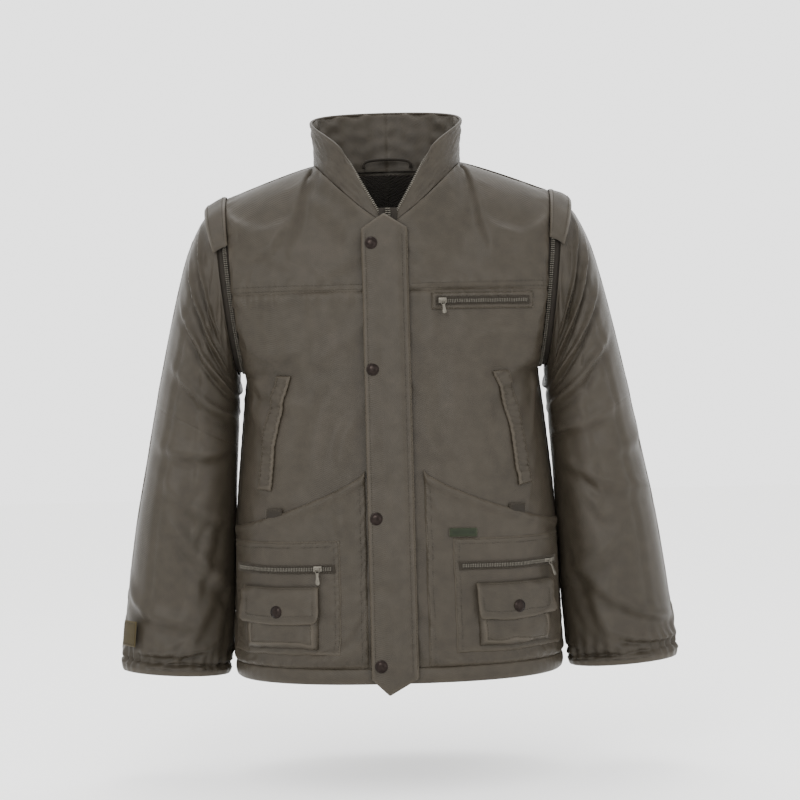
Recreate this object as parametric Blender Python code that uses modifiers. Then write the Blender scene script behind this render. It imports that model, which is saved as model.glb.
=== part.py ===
"""Padded work jacket with a stand collar, a storm flap over the front zip and sleeves that zip off.

Metres, +Z up. The origin is the centre of the neck hole, level with the nape. The front faces -Y and
+X is the wearer's left. Every cloth layer is a grid on one body surface, given a wall by Solidify.
"""
from math import asin, atan2, cos, pi, radians, sin

import bmesh
import bpy
from mathutils import Matrix, Vector

# Driving dimensions
NECK_HALF_WIDTH = 0.101
NAPE_DEPTH = 0.070
NECK_SEAM_FRONT = (0.104, -0.095)
SHOULDER_TIP = (0.229, -0.048)
YOKE_HEIGHT = -0.186
UNDERARM_HEIGHT = -0.290
HEM_SEAM_HEIGHT = -0.691
HEM_HEIGHT = -0.712
COLLAR_SIDE = 0.106
COLLAR_CORNER = (0.060, 0.006)
COLLAR_NAPE_TOP = 0.078
ARMHOLE_HALF_DEPTH = 0.088
SQUARENESS = 2.4
FRONT_DEPTH_AT_NECK_SEAM = 0.104
FRONT_SLOPE = 0.0735
ZIP_HALF_WIDTH = 0.0118
FLAP_EDGES = (-0.037, 0.026)
SNAP_RADIUS = 0.0078
SNAP_COLUMN = -0.025
SNAP_HEIGHTS = (-0.120, -0.292, -0.493, -0.687)
SEAM_GAP = 0.0005
COLUMN_STEP = 1 / 14
ROW_STEP = 0.056
SLEEVE_SIDES = 16
YOKE_ROWS = 6
COLLAR_COLUMNS = 12
ELBOW_RING = 6

# Height, half width and back half depth of the body
BODY_STATIONS = (
    (-0.715, 0.226, 0.138),
    (-0.600, 0.226, 0.128),
    (-0.520, 0.224, 0.121),
    (-0.450, 0.219, 0.118),
    (-0.350, 0.209, 0.127),
    (-0.290, 0.202, 0.135),
    (-0.186, 0.213, 0.128),
)
# Layers, as the least and the most distance outwards from the body surface
LAYERS = {
    "lining": (-0.0035, -0.0006),
    "shell": (0.0, 0.0022),
    "casing": (-0.0016, 0.0030),
    "patch": (0.0032, 0.0046),
    "welt": (0.0032, 0.0062),
    "panel": (0.0058, 0.0072),
    "trim": (0.0058, 0.0068),
    "zip": (0.0082, 0.0096),
    "bellows": (0.0084, 0.0130),
    "flap": (0.0152, 0.0166),
}
# The share of the top edge that belongs to the neck seam; the rest is the shoulder line.
NECK_SHARE = 0.45
# Patches on each front half: (lowest z, highest z), (inner x, outer x), layer.
CARGO_PANEL = ((-0.673, -0.519), (0.077, 0.2205), "panel")
BELLOWS = ((-0.664, -0.590), (0.107, 0.200), "bellows")
POCKET_FLAP = ((-0.628, -0.579), (0.105, 0.203), "flap")
HOOK_TAB = ((-0.491, -0.475), (0.152, 0.174), "trim")
CARGO_ZIP = ((-0.5620, -0.5500), (0.084, 0.214), "zip")
# On the wearer's left only.
WOVEN_LABEL = ((-0.5175, -0.5060), (0.072, 0.109), "trim")
CHEST_ZIP = ((-0.2065, -0.1965), (0.062, 0.187), "patch")
GAME_POCKET_EDGES = (0.040, 0.2215)
POCKET_SNAP = (0.157, -0.612)
# Sliders: distance from the middle, height, length of the pull.
MAIN_SLIDER = (0.0, -0.108, 0.027)
CHEST_SLIDER = (0.070, -0.2015, 0.016)
CARGO_SLIDERS = {"right": (0.105, -0.556, 0.020), "left": (0.185, -0.556, 0.020)}
MAIN_TAPE = (0.0001, 0.0021)
# The storm flap: its middle, then its layer; the outline is in its own plane, around that middle.
FLAP_MIDDLE = -0.402
FLAP_LAYER = (0.0080, 0.0098)
FLAP_HALF_LENGTH = 0.302
FLAP_POINT = 0.322
# Rings at the armhole: (outer x, z), (inner x, z), half depth.
ARMHOLE_ZIP_RING = ((0.2330, -0.0490), (0.2090, -0.2900), 0.088)
SLEEVE_ZIP_RING = ((0.2375, -0.0510), (0.2135, -0.2915), 0.0865)
ZIP_RADIUS = 0.0011
WING_RINGS = (((0.2315, -0.0480), (0.2075, -0.2890), 0.088), ((0.2540, -0.0610), (0.2200, -0.2960), 0.088))
WING_TURN = 62
WING_RISE = 0.0060
SLEEVE_WALL = (-0.0020, 0.0)
PATCH_TURNS = (28, 50)
# Outer and inner ends (x, z) and half depth of each sleeve ring, from the armhole to the cuff
SLEEVE_RINGS = (
    ((0.243, -0.054), (0.219, -0.292), 0.086),
    ((0.264, -0.076), (0.2215, -0.297), 0.085),
    ((0.285, -0.120), (0.224, -0.305), 0.083),
    ((0.301, -0.180), (0.2265, -0.320), 0.080),
    ((0.316, -0.245), (0.229, -0.345), 0.077),
    ((0.334, -0.330), (0.2315, -0.385), 0.072),
    ((0.350, -0.415), (0.234, -0.435), 0.068),
    ((0.367, -0.500), (0.236, -0.505), 0.066),
    ((0.381, -0.600), (0.238, -0.605), 0.062),
    ((0.389, -0.670), (0.240, -0.680), 0.056),
    ((0.391, -0.704), (0.243, -0.714), 0.052),
)
SIDES = (("right", -1), ("left", 1))

SHELL_CLOTH = ("shell cloth", (0.147, 0.133, 0.107), 0.62, 0.0)
TRIM_CLOTH = ("trim cloth", (0.105, 0.095, 0.076), 0.7, 0.0)
FLEECE = ("fleece", (0.022, 0.019, 0.015), 0.95, 0.0)
ZIP_METAL = ("zip metal", (0.22, 0.21, 0.19), 0.4, 1.0)
SNAP_METAL = ("snap metal", (0.035, 0.030, 0.027), 0.35, 1.0)
LABEL_CLOTH = ("label cloth", (0.028, 0.037, 0.019), 0.8, 0.0)
PATCH_CLOTH = ("patch cloth", (0.070, 0.058, 0.018), 0.7, 0.0)


def clear_scene():
    for old in list(bpy.data.objects):
        bpy.data.objects.remove(old, do_unlink=True)


def material_of(finish):
    name, colour, roughness, metallic = finish
    found = bpy.data.materials.get(name)
    if found:
        return found
    made = bpy.data.materials.new(name)
    made.use_nodes = True
    shader = made.node_tree.nodes["Principled BSDF"]
    shader.inputs["Base Color"].default_value = (*colour, 1.0)
    shader.inputs["Roughness"].default_value = roughness
    shader.inputs["Metallic"].default_value = metallic
    return made


def add_object(name, bm, finish, place=None):
    mesh = bpy.data.meshes.new(name)
    bm.to_mesh(mesh)
    bm.free()
    mesh.materials.append(material_of(finish))
    obj = bpy.data.objects.new(name, mesh)
    jacket.objects.link(obj)
    if place is not None:
        obj.matrix_world = place
    return obj


def give_wall(obj, layer):
    """Solidify from the least to the most distance of a layer, measured outwards from the open grid."""
    least, most = layer
    wall = obj.modifiers.new("wall", "SOLIDIFY")
    wall.thickness = most - least
    wall.offset = 2 * most / (most - least) - 1
    wall.use_even_offset = False


# Body surface
def between(low, high, share):
    return low + (high - low) * share


def at_height(z, column):
    """A body station's value at height z, eased between stations."""
    for (z0, *low), (z1, *high) in zip(BODY_STATIONS, BODY_STATIONS[1:]):
        if z <= z1:
            share = min(max((z - z0) / (z1 - z0), 0.0), 1.0)
            return between(low[column], high[column], share)
    return BODY_STATIONS[-1][1 + column]


def front_depth(z):
    return FRONT_DEPTH_AT_NECK_SEAM + (NECK_SEAM_FRONT[1] - z) * FRONT_SLOPE


def armhole_edge(z):
    """Distance of the armhole's edge in front of or behind the shoulder line: an upright ellipse."""
    top, bottom = SHOULDER_TIP[1], UNDERARM_HEIGHT
    middle, reach = (top + bottom) / 2, (top - bottom) / 2
    share = (z - middle) / reach
    return ARMHOLE_HALF_DEPTH * max(1 - share * share, 0.0) ** 0.5 if z > bottom else 0.0


def column_at(x, z):
    """The column, from 0 at the centre to 1 at the side, whose point at height z is x across."""
    return asin(min(x / at_height(z, 0), 1.0) ** (SQUARENESS / 2)) * 2 / pi


def body_point(column, z, side, facing):
    """A superellipse quarter between the centre and the side seam, or the armhole's edge above it."""
    angle = column * pi / 2
    across = at_height(z, 0) * sin(angle) ** (2 / SQUARENESS)
    edge = armhole_edge(z)
    deep = front_depth(z) if facing < 0 else at_height(z, 1)
    away = edge + (deep - edge) * max(cos(angle), 0.0) ** (2 / SQUARENESS)
    return Vector((side * across, facing * away, z))




def top_edge(column, side, facing, start):
    """Neck seam from the centre to the neck's side, then the shoulder line out to its tip."""
    if column <= NECK_SHARE:
        turn = (column - start) / (NECK_SHARE - start) * pi / 2
        least = ZIP_HALF_WIDTH + SEAM_GAP if facing < 0 else 0.0
        across = between(least, NECK_HALF_WIDTH, sin(turn))
        if facing < 0:
            height = between(NECK_SEAM_FRONT[1], -0.003, (across / NECK_HALF_WIDTH) ** 1.3)
            return Vector((side * across, -NECK_SEAM_FRONT[0] * cos(turn), height))
        return Vector((side * across, NAPE_DEPTH * cos(turn), -0.003 * sin(turn)))
    share = (column - NECK_SHARE) / (1 - NECK_SHARE)
    across = between(NECK_HALF_WIDTH, SHOULDER_TIP[0], share)
    return Vector((side * across, 0.0, between(-0.003, SHOULDER_TIP[1], share ** 1.15)))


def yoke_point(column, rise, side, facing, start):
    """A quadratic Bezier from the chest section up over the shoulder to the top edge."""
    low = body_point(column, YOKE_HEIGHT, side, facing)
    high = top_edge(column, side, facing, start)
    over = min(column / NECK_SHARE, 1.0) ** 3
    knee_y = between((low.y + high.y) / 2, low.y, 0.95 * over)
    knee_z = between((low.z + high.z) / 2, high.z, over)
    knee = Vector((between(low.x, high.x, 0.6), knee_y, knee_z))
    return low * (1 - rise) ** 2 + knee * 2 * rise * (1 - rise) + high * rise ** 2


def spaced(low, high, step):
    """Both ends, and the multiples of the step that lie well between them."""
    inner = [n * step for n in range(int(low / step) - 1, int(high / step) + 2)]
    return [low] + [v for v in inner if low + 0.3 * step < v < high - 0.3 * step] + [high]


def sew_grid(bm, rows, flip):
    points = [[bm.verts.new(point) for point in row] for row in rows]
    for low, high in zip(points, points[1:]):
        for n in range(len(low) - 1):
            corners = (low[n], low[n + 1], high[n + 1], high[n])
            bm.faces.new(corners[::-1] if flip else corners)


def sheet(name, grids, layer, finish):
    """One cloth piece: grids of rows, each with a flip flag, merged where their edges meet."""
    bm = bmesh.new()
    for rows, flip in grids:
        sew_grid(bm, rows, flip)
    bmesh.ops.remove_doubles(bm, verts=bm.verts[:], dist=0.00002)
    obj = add_object(name, bm, finish)
    give_wall(obj, layer)
    return obj


def columns_from(x, z):
    start = column_at(x, z) if x > 0 else 0.0
    return start, spaced(start, 1.0, COLUMN_STEP)


def body_rows(side, facing, x, low, high, nudge=0.0):
    """Rows from one height to another, from x across to the side seam or armhole."""
    _, columns = columns_from(x, YOKE_HEIGHT)
    move = Vector((0.0, facing * nudge, 0.0))
    heights = spaced(low, min(high, UNDERARM_HEIGHT), ROW_STEP)
    if high > UNDERARM_HEIGHT:
        heights += spaced(UNDERARM_HEIGHT, high, ROW_STEP / 2)[1:]
    return [[body_point(c, z, side, facing) + move for c in columns] for z in heights]


def yoke_rows(side, facing, x, least, nudge=0.0):
    start, columns = columns_from(x, YOKE_HEIGHT)
    move = Vector((0.0, facing * nudge, 0.0))
    rises = [least] + [n / YOKE_ROWS for n in range(1, YOKE_ROWS + 1) if n / YOKE_ROWS > least]
    return [[yoke_point(c, rise, side, facing, start) + move for c in columns] for rise in rises]


def faces_in(side, facing):
    """Whether a grid that runs from the centre to the side, and upwards, has to be turned over."""
    return side * facing > 0


def back_grids(low, nudge):
    grids = []
    for _, side in SIDES:
        rows = body_rows(side, 1, 0.0, low, YOKE_HEIGHT, nudge)
        rows += yoke_rows(side, 1, 0.0, 1 / YOKE_ROWS, nudge)
        grids.append((rows, faces_in(side, 1)))
    return grids


def build_body():
    edge = ZIP_HALF_WIDTH + SEAM_GAP
    sheet("back_panel", back_grids(HEM_SEAM_HEIGHT + SEAM_GAP, SEAM_GAP), LAYERS["shell"], SHELL_CLOTH)
    for word, side in SIDES:
        flip = faces_in(side, -1)
        low = body_rows(side, -1, edge, HEM_SEAM_HEIGHT + SEAM_GAP, YOKE_HEIGHT - SEAM_GAP, SEAM_GAP)
        sheet(f"front_panel_{word}", [(low, flip)], LAYERS["shell"], SHELL_CLOTH)
        high = yoke_rows(side, -1, edge, 0.008, SEAM_GAP)
        sheet(f"front_yoke_{word}", [(high, flip)], LAYERS["shell"], SHELL_CLOTH)
    grids = back_grids(HEM_SEAM_HEIGHT + SEAM_GAP, 0.0)
    for _, side in SIDES:
        rows = body_rows(side, -1, edge, HEM_SEAM_HEIGHT + SEAM_GAP, YOKE_HEIGHT)
        rows += yoke_rows(side, -1, edge, 1 / YOKE_ROWS)
        grids.append((rows, faces_in(side, -1)))
    sheet("body_lining", grids, LAYERS["lining"], FLEECE)
    grids = []
    for _, side in SIDES:
        for facing in (-1, 1):
            rows = body_rows(side, facing, edge if facing < 0 else 0.0, HEM_HEIGHT, HEM_SEAM_HEIGHT)
            grids.append((rows, faces_in(side, facing)))
    sheet("hem_casing", grids, LAYERS["casing"], SHELL_CLOTH)


def collar_bottom(share, side):
    """Neck seam: the front stretch for the first half, the nape for the second."""
    if share <= 0.5:
        turn = share * pi
        across = between(0.004, NECK_HALF_WIDTH, sin(turn))
        height = between(NECK_SEAM_FRONT[1], -0.003, (across / NECK_HALF_WIDTH) ** 1.3)
        return Vector((side * across, -NECK_SEAM_FRONT[0] * cos(turn), height))
    turn = (1 - share) * pi
    return Vector((side * NECK_HALF_WIDTH * sin(turn), NAPE_DEPTH * cos(turn), -0.003 * sin(turn)))


def collar_top(share, side):
    """Top edge: an oval that climbs from the front corner to the nape."""
    start = asin(COLLAR_CORNER[0] / COLLAR_SIDE)
    turn = between(start, pi, share)
    deep = 0.088 if cos(turn) > 0 else 0.080
    height = between(COLLAR_CORNER[1], COLLAR_NAPE_TOP, share ** 0.56)
    return Vector((side * COLLAR_SIDE * sin(turn), -deep * cos(turn), height))


def build_collar():
    grids = []
    for _, side in SIDES:
        rows = []
        for lift in (0.11, 0.38, 0.69, 1.0):
            shares = [n / COLLAR_COLUMNS for n in range(COLLAR_COLUMNS + 1)]
            row = [collar_bottom(share, side).lerp(collar_top(share, side), lift) for share in shares]
            rows.append(row)
        grids.append((rows, side < 0))
    sheet("collar", grids, (0.0, 0.0024), SHELL_CLOTH)
    sheet("collar_lining", grids, (-0.0030, -0.0005), FLEECE)
    bm = bmesh.new()
    outer, inner, top, bottom = 0.034, 0.029, 0.016, 0.003
    outline = ((-outer, bottom), (-inner, bottom), (-inner, top - 0.002), (inner, top - 0.002),
               (inner, bottom), (outer, bottom), (outer, top), (-outer, top))
    bm.faces.new([bm.verts.new((x, 0.0615, z)) for x, z in outline])
    loop = add_object("hanger_loop", bm, TRIM_CLOTH)
    give_wall(loop, (0.0, 0.008))


# Pockets
def patch_rows(side, low, high, inner, outer):
    """Rows between two edges that may slope: each is a function of the column or of the height."""
    middle = (low(0.5) + high(0.5)) / 2
    columns = spaced(column_at(inner, middle), column_at(outer, middle), COLUMN_STEP)
    span = columns[-1] - columns[0]
    count = max(3, round((high(0.5) - low(0.5)) / ROW_STEP) + 1)
    rows = []
    for n in range(count):
        row = []
        for column in columns:
            share = (column - columns[0]) / span
            z = between(low(share), high(share), n / (count - 1))
            row.append(body_point(column, z, side, -1))
        rows.append(row)
    return rows


def level(z):
    return lambda share: z


def patch(name, side, low, high, inner, outer, layer, finish):
    rows = patch_rows(side, low, high, inner, outer)
    return sheet(name, [(rows, faces_in(side, -1))], LAYERS[layer], finish)


def slanted_top(share):
    """The game pocket's top edge falls towards the side, steeply at first."""
    return -0.428 - 0.074 * share ** 0.72


def welt_rows(side):
    rows = []
    for n in range(9):
        share = n / 8
        z = between(-0.450, -0.295, share)
        bow = 0.006 * sin(share * pi)
        inner = between(0.166, 0.134, share) + bow
        outer = between(0.184, 0.153, share) + bow
        ends = (column_at(inner, z), column_at(outer, z))
        rows.append([body_point(between(*ends, m / 2), z, side, -1) for m in range(3)])
    return rows


def surface_frame(x, z, side, away):
    """Place on the front surface: local Z points out of the cloth, local Y up along it."""
    column = column_at(x, z)
    here = body_point(column, z, side, -1)
    along = (body_point(column + 0.01, z, side, -1) - here) * side
    up = body_point(column, z + 0.005, side, -1) - here
    out = along.cross(up).normalized()
    up = out.cross(along).normalized()
    turned = Matrix((along.normalized(), up, out)).transposed().to_4x4()
    return Matrix.Translation(here + out * away) @ turned


def turned_disc(name, profile, place, finish):
    """A profile of (radius, height) from the top to the bottom of its outer side, turned about local Z."""
    bm = bmesh.new()
    points = [bm.verts.new((radius, 0.0, height)) for radius, height in profile]
    for n in range(len(points) - 1):
        bm.edges.new((points[n], points[n + 1]))
    obj = add_object(name, bm, finish, place)
    turn = obj.modifiers.new("turn", "SCREW")
    turn.steps = 12
    turn.render_steps = 12
    turn.use_merge_vertices = True
    turn.merge_threshold = 0.00005
    return obj


def snap_cap(name, place):
    r = SNAP_RADIUS
    profile = ((0.0, 0.0030), (0.5 * r, 0.0027), (0.85 * r, 0.0018), (r, 0.0006), (r, 0.0), (0.0, 0.0))
    return turned_disc(name, profile, place, SNAP_METAL)


def snap_stud(name, place):
    profile = ((0.0, 0.0015), (0.0022, 0.0015), (0.0024, 0.0007), (0.0052, 0.0005), (0.0052, 0.0), (0.0, 0.0))
    return turned_disc(name, profile, place, SNAP_METAL)


def front_patch(name, side, shape, material):
    heights, edges, layer = shape
    return patch(name, side, level(heights[0]), level(heights[1]), *edges, layer, material)


def build_pockets():
    for word, side in SIDES:
        patch(f"game_pocket_{word}", side, level(HEM_SEAM_HEIGHT + 0.001), slanted_top,
              *GAME_POCKET_EDGES, "patch", SHELL_CLOTH)
        front_patch(f"cargo_panel_{word}", side, CARGO_PANEL, SHELL_CLOTH)
        front_patch(f"bellows_pocket_{word}", side, BELLOWS, SHELL_CLOTH)
        front_patch(f"hook_tab_{word}", side, HOOK_TAB, TRIM_CLOTH)
        welt = [(welt_rows(side), faces_in(side, -1))]
        sheet(f"hand_pocket_welt_{word}", welt, LAYERS["welt"], SHELL_CLOTH)
        snap_stud(f"pocket_stud_{word}", surface_frame(*POCKET_SNAP, side, LAYERS["bellows"][1] + 0.0004))
        flap = front_patch(f"pocket_flap_{word}", side, POCKET_FLAP, SHELL_CLOTH)
        cap = snap_cap(f"flap_cap_{word}", surface_frame(*POCKET_SNAP, side, LAYERS["flap"][1] + 0.0004))
        sewn_edge = surface_frame(POCKET_SNAP[0], POCKET_FLAP[0][1], side, LAYERS["flap"][0])
        hinge = empty_at(f"flap_hinge_{word}", sewn_edge)
        hold(flap, hinge)
        hold(cap, hinge)
    front_patch("woven_label", 1, WOVEN_LABEL, LABEL_CLOTH)
    front_patch("chest_zip", 1, CHEST_ZIP, TRIM_CLOTH)


def empty_at(name, place):
    empty = bpy.data.objects.new(name, None)
    jacket.objects.link(empty)
    empty.matrix_world = place
    return empty


def hold(obj, parent):
    """Parents an object while it stays where it is."""
    bpy.context.view_layer.update()
    world = obj.matrix_world.copy()
    obj.parent = parent
    obj.matrix_parent_inverse = parent.matrix_world.inverted()
    obj.matrix_world = world


# Zips
def box(name, size, place, finish, rounding=0.0003):
    bm = bmesh.new()
    bmesh.ops.create_cube(bm, size=1.0, matrix=Matrix.Diagonal((*size, 1.0)))
    obj = add_object(name, bm, finish, place)
    if rounding:
        edge = obj.modifiers.new("edge", "BEVEL")
        edge.width = rounding
        edge.segments = 1
    return obj


def slider_and_pull(name, place, pull_length, tape_top):
    """A zip slider on a tape, and the pull tab that hangs from its lower end. Local Y is up."""
    body_size = (0.0085, 0.0120, 0.0030)
    slider_place = place @ Matrix.Translation((0, 0, tape_top + 0.0018))
    slider = box(f"{name}_slider", body_size, slider_place, ZIP_METAL)
    centre = place @ Matrix.Translation((0, -pull_length / 2, tape_top + 0.0041))
    pull = box(f"{name}_pull", (0.0055, pull_length, 0.0011), centre, ZIP_METAL)
    pivot = empty_at(f"{name}_pull_pivot", place @ Matrix.Translation((0, 0, tape_top + 0.0041)))
    hold(pull, pivot)
    hold(pivot, slider)


def front_plane(x, z, away):
    """Place on the straight front line: local Y runs up along it and local Z points forwards out of it."""
    lean = atan2(FRONT_SLOPE, 1.0)
    up = Vector((0.0, sin(lean), cos(lean)))
    out = Vector((0.0, -cos(lean), sin(lean)))
    turned = Matrix((Vector((1.0, 0.0, 0.0)), up, out)).transposed().to_4x4()
    return Matrix.Translation(Vector((x, -front_depth(z), z)) + out * away) @ turned


def build_front_closure():
    top, bottom = NECK_SEAM_FRONT[1] - 0.002, HEM_HEIGHT
    length = (top - bottom) / cos(atan2(FRONT_SLOPE, 1.0))
    for word, side in SIDES:
        width = ZIP_HALF_WIDTH - 0.0013
        place = front_plane(side * (0.0004 + width / 2), (top + bottom) / 2, sum(MAIN_TAPE) / 2)
        box(f"main_zip_{word}", (width, length, MAIN_TAPE[1] - MAIN_TAPE[0]), place, TRIM_CLOTH)
    slider_x, slider_z, pull_length = MAIN_SLIDER
    slider_and_pull("main_zip", front_plane(slider_x, slider_z, 0.0), pull_length, MAIN_TAPE[1] + 0.0003)
    centre = (FLAP_EDGES[0] + FLAP_EDGES[1]) / 2
    half = (FLAP_EDGES[1] - FLAP_EDGES[0]) / 2
    outline = ((-half, -FLAP_HALF_LENGTH), (-0.25 * half, -FLAP_POINT - 0.002), (half, -FLAP_HALF_LENGTH),
               (half, FLAP_HALF_LENGTH), (0.0, FLAP_POINT), (-half, FLAP_HALF_LENGTH + 0.002))
    bm = bmesh.new()
    bm.faces.new([bm.verts.new((x, y, 0.0)) for x, y in outline])
    flap = add_object("storm_flap", bm, SHELL_CLOTH, front_plane(centre, FLAP_MIDDLE, 0.0))
    give_wall(flap, FLAP_LAYER)
    hinge = empty_at("storm_flap_hinge", front_plane(FLAP_EDGES[1], FLAP_MIDDLE, FLAP_LAYER[0]))
    hold(flap, hinge)
    for number, z in enumerate(SNAP_HEIGHTS, 1):
        cap = snap_cap(f"placket_cap_{number}", front_plane(SNAP_COLUMN, z, FLAP_LAYER[1] + 0.0004))
        hold(cap, hinge)
        away = 0.0040 if z < HEM_SEAM_HEIGHT + 0.010 else 0.0030
        snap_stud(f"placket_stud_{number}", front_plane(SNAP_COLUMN, z, away))


def build_pocket_zips():
    x, z, pull_length = CHEST_SLIDER
    slider_and_pull("chest_zip", surface_frame(x, z, 1, 0.0), pull_length, LAYERS["patch"][1] + 0.0004)
    for word, side in SIDES:
        front_patch(f"cargo_zip_{word}", side, CARGO_ZIP, TRIM_CLOTH)
        x, z, pull_length = CARGO_SLIDERS[word]
        place = surface_frame(x, z, side, 0.0)
        slider_and_pull(f"cargo_zip_{word}", place, pull_length, LAYERS["zip"][1] + 0.0010)


# Sleeves
def ring_point(ring, turn, side, grow=0.0):
    """An oval between the ring's outer and inner ends: 0 is the outer end and a quarter turn the front."""
    (outer_x, outer_z), (inner_x, inner_z), deep = ring
    centre = Vector(((outer_x + inner_x) / 2, 0.0, (outer_z + inner_z) / 2))
    reach = Vector((outer_x, 0.0, outer_z)) - centre
    reach *= 1 + grow / reach.length
    point = centre + reach * cos(turn) - Vector((0.0, (deep + grow) * sin(turn), 0.0))
    return Vector((side * point.x, point.y, point.z))


def tube_rows(rings, side):
    turns = [n / SLEEVE_SIDES * 2 * pi for n in range(SLEEVE_SIDES + 1)]
    return [[ring_point(ring, turn, side) for turn in turns] for ring in rings]


def between_rings(low, high, share):
    ends = [tuple(between(a, b, share) for a, b in zip(p, q)) for p, q in zip(low[:2], high[:2])]
    return (*ends, between(low[2], high[2], share))


def ring_tube(name, ring, side, radius, grow, finish):
    """A closed tube round an armhole."""
    curve = bpy.data.curves.new(name, "CURVE")
    curve.dimensions = "3D"
    curve.bevel_depth = radius
    curve.bevel_resolution = 0
    spline = curve.splines.new("POLY")
    count = 20
    spline.points.add(count - 1)
    for n in range(count):
        spline.points[n].co = (*ring_point(ring, n / count * 2 * pi, side, grow), 1.0)
    spline.use_cyclic_u = True
    curve.materials.append(material_of(finish))
    obj = bpy.data.objects.new(name, curve)
    jacket.objects.link(obj)
    return obj


def build_sleeves():
    for word, side in SIDES:
        ring_tube(f"armhole_zip_{word}", ARMHOLE_ZIP_RING, side, ZIP_RADIUS, -0.0012, TRIM_CLOTH)
        ring_tube(f"sleeve_zip_{word}", SLEEVE_ZIP_RING, side, ZIP_RADIUS, 0.0, TRIM_CLOTH)
        wing = []
        for n in range(3):
            ring = between_rings(*WING_RINGS, n / 2)
            turns = [radians(-WING_TURN + 2 * WING_TURN * m / 12) for m in range(13)]
            wing.append([ring_point(ring, turn, side, WING_RISE) for turn in turns])
        sheet(f"shoulder_wing_{word}", [(wing, side < 0)], (0.0, 0.0018), SHELL_CLOTH)
        flip = side < 0
        split = SLEEVE_RINGS[ELBOW_RING]
        below = between_rings(split, SLEEVE_RINGS[ELBOW_RING + 1], 0.015)
        upper = tube_rows(SLEEVE_RINGS[: ELBOW_RING + 1], side)
        lower = tube_rows((below,) + SLEEVE_RINGS[ELBOW_RING + 1:], side)
        sheet(f"upper_sleeve_{word}", [(upper, flip)], SLEEVE_WALL, SHELL_CLOTH)
        sheet(f"lower_sleeve_{word}", [(lower, flip)], SLEEVE_WALL, SHELL_CLOTH)
    cuff = SLEEVE_RINGS[-2]
    wrist = between_rings(SLEEVE_RINGS[-3], cuff, 0.45)
    rows = []
    for n in range(3):
        ring = between_rings(cuff, wrist, n / 2)
        turns = [radians(PATCH_TURNS[0] + (PATCH_TURNS[1] - PATCH_TURNS[0]) * m / 3) for m in range(4)]
        rows.append([ring_point(ring, turn, -1) for turn in turns])
    sheet("sleeve_patch", [(rows, False)], (0.0006, 0.0016), PATCH_CLOTH)


clear_scene()
jacket = bpy.data.collections.new("work_jacket")
bpy.context.scene.collection.children.link(jacket)
build_body()
build_collar()
build_pockets()
build_front_closure()
build_pocket_zips()
build_sleeves()
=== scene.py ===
from math import pi, radians

import bmesh
import bpy
import numpy as np
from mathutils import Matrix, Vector


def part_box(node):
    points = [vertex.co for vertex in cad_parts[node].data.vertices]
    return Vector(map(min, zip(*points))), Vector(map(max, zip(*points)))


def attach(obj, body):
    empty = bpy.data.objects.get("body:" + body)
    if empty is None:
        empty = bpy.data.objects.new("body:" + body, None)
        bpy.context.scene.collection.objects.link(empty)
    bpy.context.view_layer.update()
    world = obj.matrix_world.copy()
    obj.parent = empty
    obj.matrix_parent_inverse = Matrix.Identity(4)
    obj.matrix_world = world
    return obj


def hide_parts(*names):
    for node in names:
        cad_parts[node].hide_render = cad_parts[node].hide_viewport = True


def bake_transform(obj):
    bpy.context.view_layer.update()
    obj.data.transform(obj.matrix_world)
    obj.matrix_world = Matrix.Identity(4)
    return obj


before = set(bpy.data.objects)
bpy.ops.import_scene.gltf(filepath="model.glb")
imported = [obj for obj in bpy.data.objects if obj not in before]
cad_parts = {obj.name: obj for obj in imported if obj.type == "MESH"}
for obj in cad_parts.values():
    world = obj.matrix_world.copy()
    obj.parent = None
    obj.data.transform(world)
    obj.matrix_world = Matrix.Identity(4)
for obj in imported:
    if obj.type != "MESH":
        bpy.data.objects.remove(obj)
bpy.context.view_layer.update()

sides = (("right", -1), ("left", 1))


# numbers of the cut, in metres: heights come from the frame, the curves are those of the pattern
def low(node):
    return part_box(node)[0]


def high(node):
    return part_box(node)[1]


cut = dict(
    hemLow=low("hem_casing")[2],
    hemSeam=high("hem_casing")[2],
    yokeSeam=high("front_panel_left")[2],
    underarm=-0.290,
    neckHalf=0.101,
    napeDepth=0.070,
    neckFront=0.104,
    neckSeam=-0.095,
    shoulderTip=(0.229, -0.048),
    armholeHalf=0.088,
    squareness=2.4,
    frontSlope=0.0735,
    neckShare=0.45,
    zipHalf=0.0123,
    heights=(-0.715, -0.600, -0.520, -0.450, -0.350, -0.290, -0.186),
    halfWidths=(0.226, 0.226, 0.224, 0.219, 0.209, 0.202, 0.213),
    backDepths=(0.138, 0.128, 0.121, 0.118, 0.127, 0.135, 0.128),
)


def mix(a, b, share):
    return a + (b - a) * share


def bell(d, width):
    return np.exp(-((d / width) ** 2))


def unit(v):
    return v / np.maximum(np.linalg.norm(v, axis=-1, keepdims=True), 1e-9)


# smooth noise from a few sine waves of seeded pitch, turn and phase, between -1 and 1
def noise(x, y, pitch, seed):
    random = np.random.default_rng(seed)
    total = 0 * x + 0 * y
    for _ in range(7):
        turn, phase = random.uniform(0, 2 * pi, 2)
        wave = 2 * pi / (pitch * random.uniform(0.6, 1.8))
        total = total + np.sin(wave * (x * np.cos(turn) + y * np.sin(turn)) + phase)
    return total / 4


def halfWidth(z):
    return np.interp(z, cut["heights"], cut["halfWidths"])


def frontDepth(z):
    return cut["neckFront"] + (cut["neckSeam"] - z) * cut["frontSlope"]


def columnAt(x, z):  # the share of the way from the centre to the side, from the distance across
    return np.arcsin(np.minimum(x / halfWidth(z), 1.0) ** (cut["squareness"] / 2)) * 2 / pi


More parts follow.
